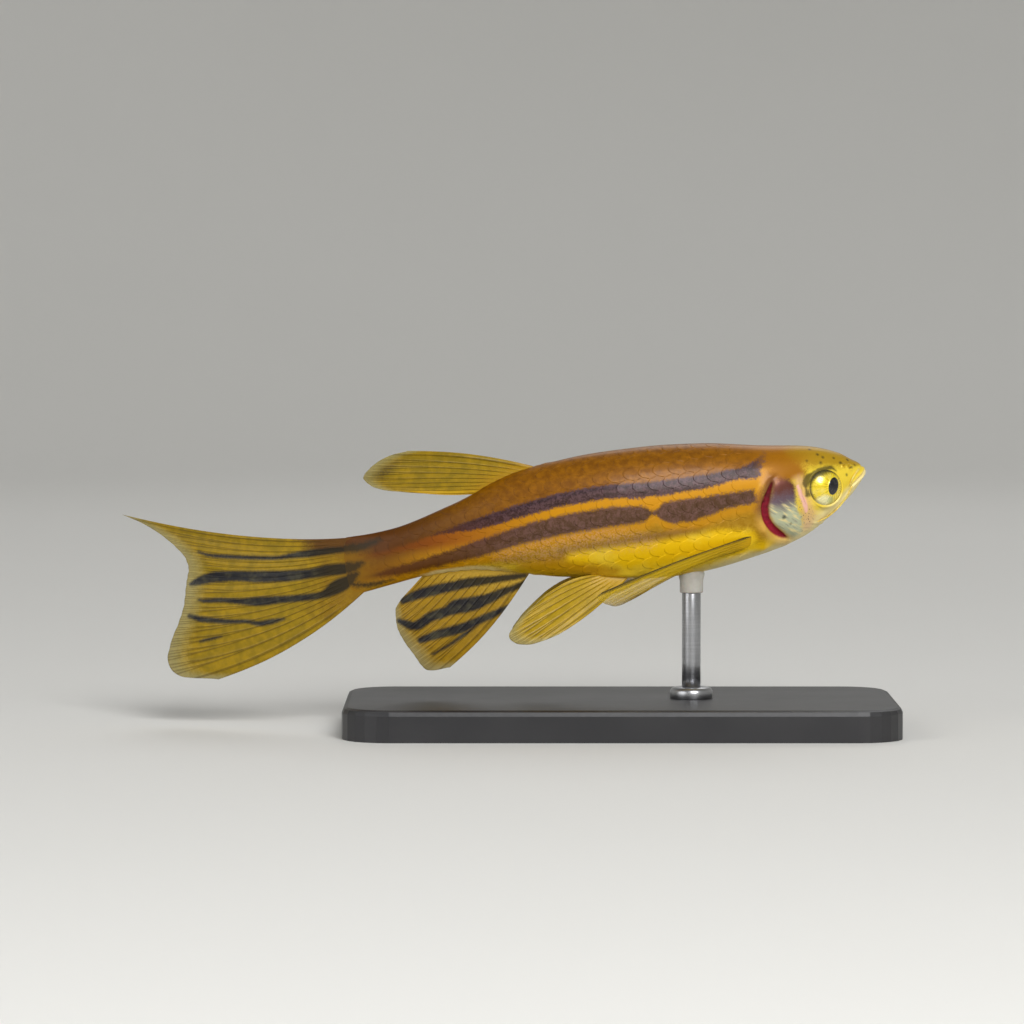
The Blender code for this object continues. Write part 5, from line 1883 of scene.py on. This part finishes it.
@dataclass
class StandFittings:
    """The turned collar at the rod's foot and the soft sleeve at its top, which close the solids' thin gaps."""

    body: Body
    rod_station: float = 12.2
    rod_radius: float = 0.6
    rod_gap: float = 0.3
    base_top: float = 2.0
    collar_radius: float = 1.35
    collar_height: float = 0.75
    sleeve_wall: float = 0.14
    sleeve_length: float = 1.5

    def rod_top(self) -> Array:
        """Where the solid rod ends, just under the belly."""
        depth = float(smooth(self.body.depth_below, self.rod_station)) + self.rod_gap
        return self.body.posed((self.rod_station, 0, -depth))

    def turned(self, profile: Keys, sides: int = 48) -> Shape:
        """A shape turned round the rod's axis.

        Args:
            profile: (radius, height) from the lower middle round to the upper middle.
            sides: Faces around it.

        Returns:
            The closed shape.
        """
        x, y, _ = self.rod_top()
        ends = [[0, 0, profile[0][1]], [0, 0, profile[-1][1]]]
        points = np.concatenate([upright_rings(profile[1:-1], sides), ends]) + (x, y, 0)
        return Shape(points, capped_rings(len(profile) - 2, sides, kept=False))

    def rod(self) -> Shape:
        """The round rod, from inside the collar to inside the sleeve."""
        r, b, t = self.rod_radius * 0.99, self.base_top, float(self.rod_top()[2])
        return self.turned(((0, b - 0.04), (r, b - 0.04), (r, blend(b, t, 0.3)), (r, blend(b, t, 0.6)), (r, t - 0.1),
                            (r - 0.05, t), (0, t)))

    def collar(self) -> Shape:
        """The collar on the base, with rounded edges."""
        r, b, t = self.collar_radius, self.base_top, self.base_top + self.collar_height
        return self.turned(((0, b - 0.05), (r - 0.06, b - 0.05), (r, b + 0.02), (r, t - 0.28), (r - 0.1, t - 0.1),
                            (r - 0.32, t - 0.02), (self.rod_radius + 0.2, t), (self.rod_radius + 0.06, t - 0.05),
                            (0, t - 0.05)))

    def sleeve(self) -> Shape:
        """The sleeve from the rod's top into the belly.

        Returns:
            The closed shape.
        """
        top, r = float(self.rod_top()[2]) + 0.65, self.rod_radius + self.sleeve_wall
        low = top - self.sleeve_length
        return self.turned(((0, low + 0.02), (self.rod_radius, low + 0.02), (r - 0.04, low), (r, low + 0.06),
                            (r, top - 0.75), (r + 0.06, top - 0.5), (r + 0.1, top - 0.3), (r, top), (0, top)))


# The studio


@dataclass
class Studio:
    """A pale floor that curves up all round, soft lamps and the camera at the photograph's angle."""

    floor_reach: float = 0.36
    wall_reach: float = 0.56
    wall_height: float = 0.5
    floor: Colour = paint(226, 225, 221)
    floor_shade: Colour = paint(220, 219, 214)
    sky: Colour = paint(236, 238, 242)
    sky_strength: float = 0.26
    target: tuple[float, float, float] = (-0.00688, 0.001983, 0.013739)
    distance: float = 0.32666
    elevation: float = 3.0
    lens: float = 180.0
    sensor: float = 36.0

    def backdrop(self) -> None:
        """Builds the floor and its curved rise."""
        bend = self.wall_reach - self.floor_reach
        profile = [(r, 0.0) for r in np.linspace(0.02, self.floor_reach, 14)]
        profile += [(self.floor_reach + bend * math.sin(a), bend * (1 - math.cos(a)))
                    for a in np.linspace(0, np.pi / 2, 16)[1:]]
        profile += [(self.wall_reach, bend + k * (self.wall_height - bend) / 4) for k in range(1, 5)]
        sides = 96
        points = np.concatenate([upright_rings(profile, sides), [[0, 0, 0]]]) / MM
        faces = grid_faces(len(profile), sides, wrap=True).tolist()
        faces += [(len(points) - 1, k, (k + 1) % sides) for k in range(sides)]
        material, n, shader = fresh_material("studio_floor")
        cloud = n.noise(n.put("ShaderNodeTexCoord").outputs["Object"], 9.0, 3.0)
        feed(shader, {"Base Color": n.mix(n.rise(cloud, 0.3, 0.7, 0.25), self.floor, self.floor_shade),
                      "Roughness": 0.75, "Specular IOR Level": 0.2})
        Shape(points, faces).piece("studio_floor", material)

    def lamp(self, name: str, at: tuple[float, float, float], size: float, power: float) -> None:
        """A soft round lamp that faces the fish.

        Args:
            name: Its name.
            at: Where it stands, in metres.
            size: Its diameter.
            power: Its watts.
        """
        data = bpy.data.lights.new(name, "AREA")
        data.shape = "DISK"
        data.size, data.energy = size, power
        made = placed(name, data)
        made.location = at
        made.rotation_euler = (Vector(self.target) - Vector(at)).to_track_quat("-Z", "Y").to_euler()

    def build(self) -> None:
        """Sets up the floor, lamps, sky and camera."""
        self.backdrop()
        self.lamp("key_lamp", (0.1, -0.33, 0.23), 0.2, 1.3)
        self.lamp("fill_lamp", (-0.3, -0.22, 0.14), 0.3, 0.36)
        self.lamp("rim_lamp", (0.05, 0.3, 0.3), 0.25, 0.26)
        world = bpy.data.worlds.new("studio_sky")
        world.use_nodes = True
        back = world.node_tree.nodes["Background"]
        back.inputs["Color"].default_value = self.sky
        back.inputs["Strength"].default_value = self.sky_strength
        scene = bpy.context.scene
        scene.world = world
        scene.view_settings.view_transform = "Standard"
        data = bpy.data.cameras.new("photo_camera")
        data.lens, data.sensor_width, data.clip_start, data.clip_end = self.lens, self.sensor, 0.005, 20.0
        camera = placed("photo_camera", data)
        up = math.radians(self.elevation)
        away = Vector((0, -math.cos(up), math.sin(up))) * self.distance
        camera.location = Vector(self.target) + away
        camera.rotation_euler = (-away).to_track_quat("-Z", "Y").to_euler()
        scene.camera = camera


def settle(piece: bpy.types.Object, slot: str, *nodes: str) -> None:
    """Rides a piece on the part's one body and reports it.

    Args:
        piece: The finished piece.
        slot: The record's material slot, which is not used.
        *nodes: The CAD nodes that it stands for.
    """
    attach(piece, "root")
    if nodes:
        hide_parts(*nodes)
    LOG.info("%s: %d faces", piece.name, len(piece.data.polygons))


def main() -> None:
    """Builds the fish, its stand and the studio, in order."""
    logging.basicConfig(level=logging.INFO, format="%(message)s")
    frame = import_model()
    body, markings, seat = Body(), Markings(), EyeSeat()
    Studio().build()
    hide = Hide()
    group = hide.group()
    fins = all_fins(body)
    skin = Skin(body, markings, seat)
    eyes = [Eye(body, seat, side) for side in Side]
    shapes = [skin.build(fins)] + [eye.rim(markings) for eye in eyes]
    settle(joined(shapes).piece("skin", hide.dress("danio_skin", group, 0.014)), "flank", "head", "torso", "tail",
           "gill_cover_right", "gill_cover_left")
    scale_finish = hide.dress("danio_scale", group, 0.012)
    settle(Scales(body, markings, skin).build(scale_finish).piece("scales", scale_finish), "flank")
    eye_finish = EyeFinish()
    eye_material = eye_finish.material()
    for eye in eyes:
        label = eye.side.name.lower()
        settle(eye.build(eye_finish).piece(f"domed_eye_{label}", eye_material), "iris", f"eye_{label}")
    finishes = {}
    for fin in fins:
        if fin.finish.name not in finishes:
            finishes[fin.finish.name] = fin.finish.material()
        settle(fin.build().piece(fin.name, finishes[fin.finish.name]), fin.slot, fin.node)
    barbels = Barbels(body)
    settle(barbels.build().piece("barbels", barbels.material()), "back")
    stand = StandFinish()
    fittings = StandFittings(body)
    steel = stand.steel_material()
    settle(fittings.rod().piece("stand_round_rod", steel), "rod", "stand_rod")
    settle(fittings.collar().piece("stand_collar", steel), "rod")
    settle(fittings.sleeve().piece("stand_sleeve", stand.rubber_material()), "rod")
    satin = stand.base_material()
    for place in frame["nodes"]["stand_base"].material_slots:
        place.material = satin


if __name__ == "__main__":
    main()
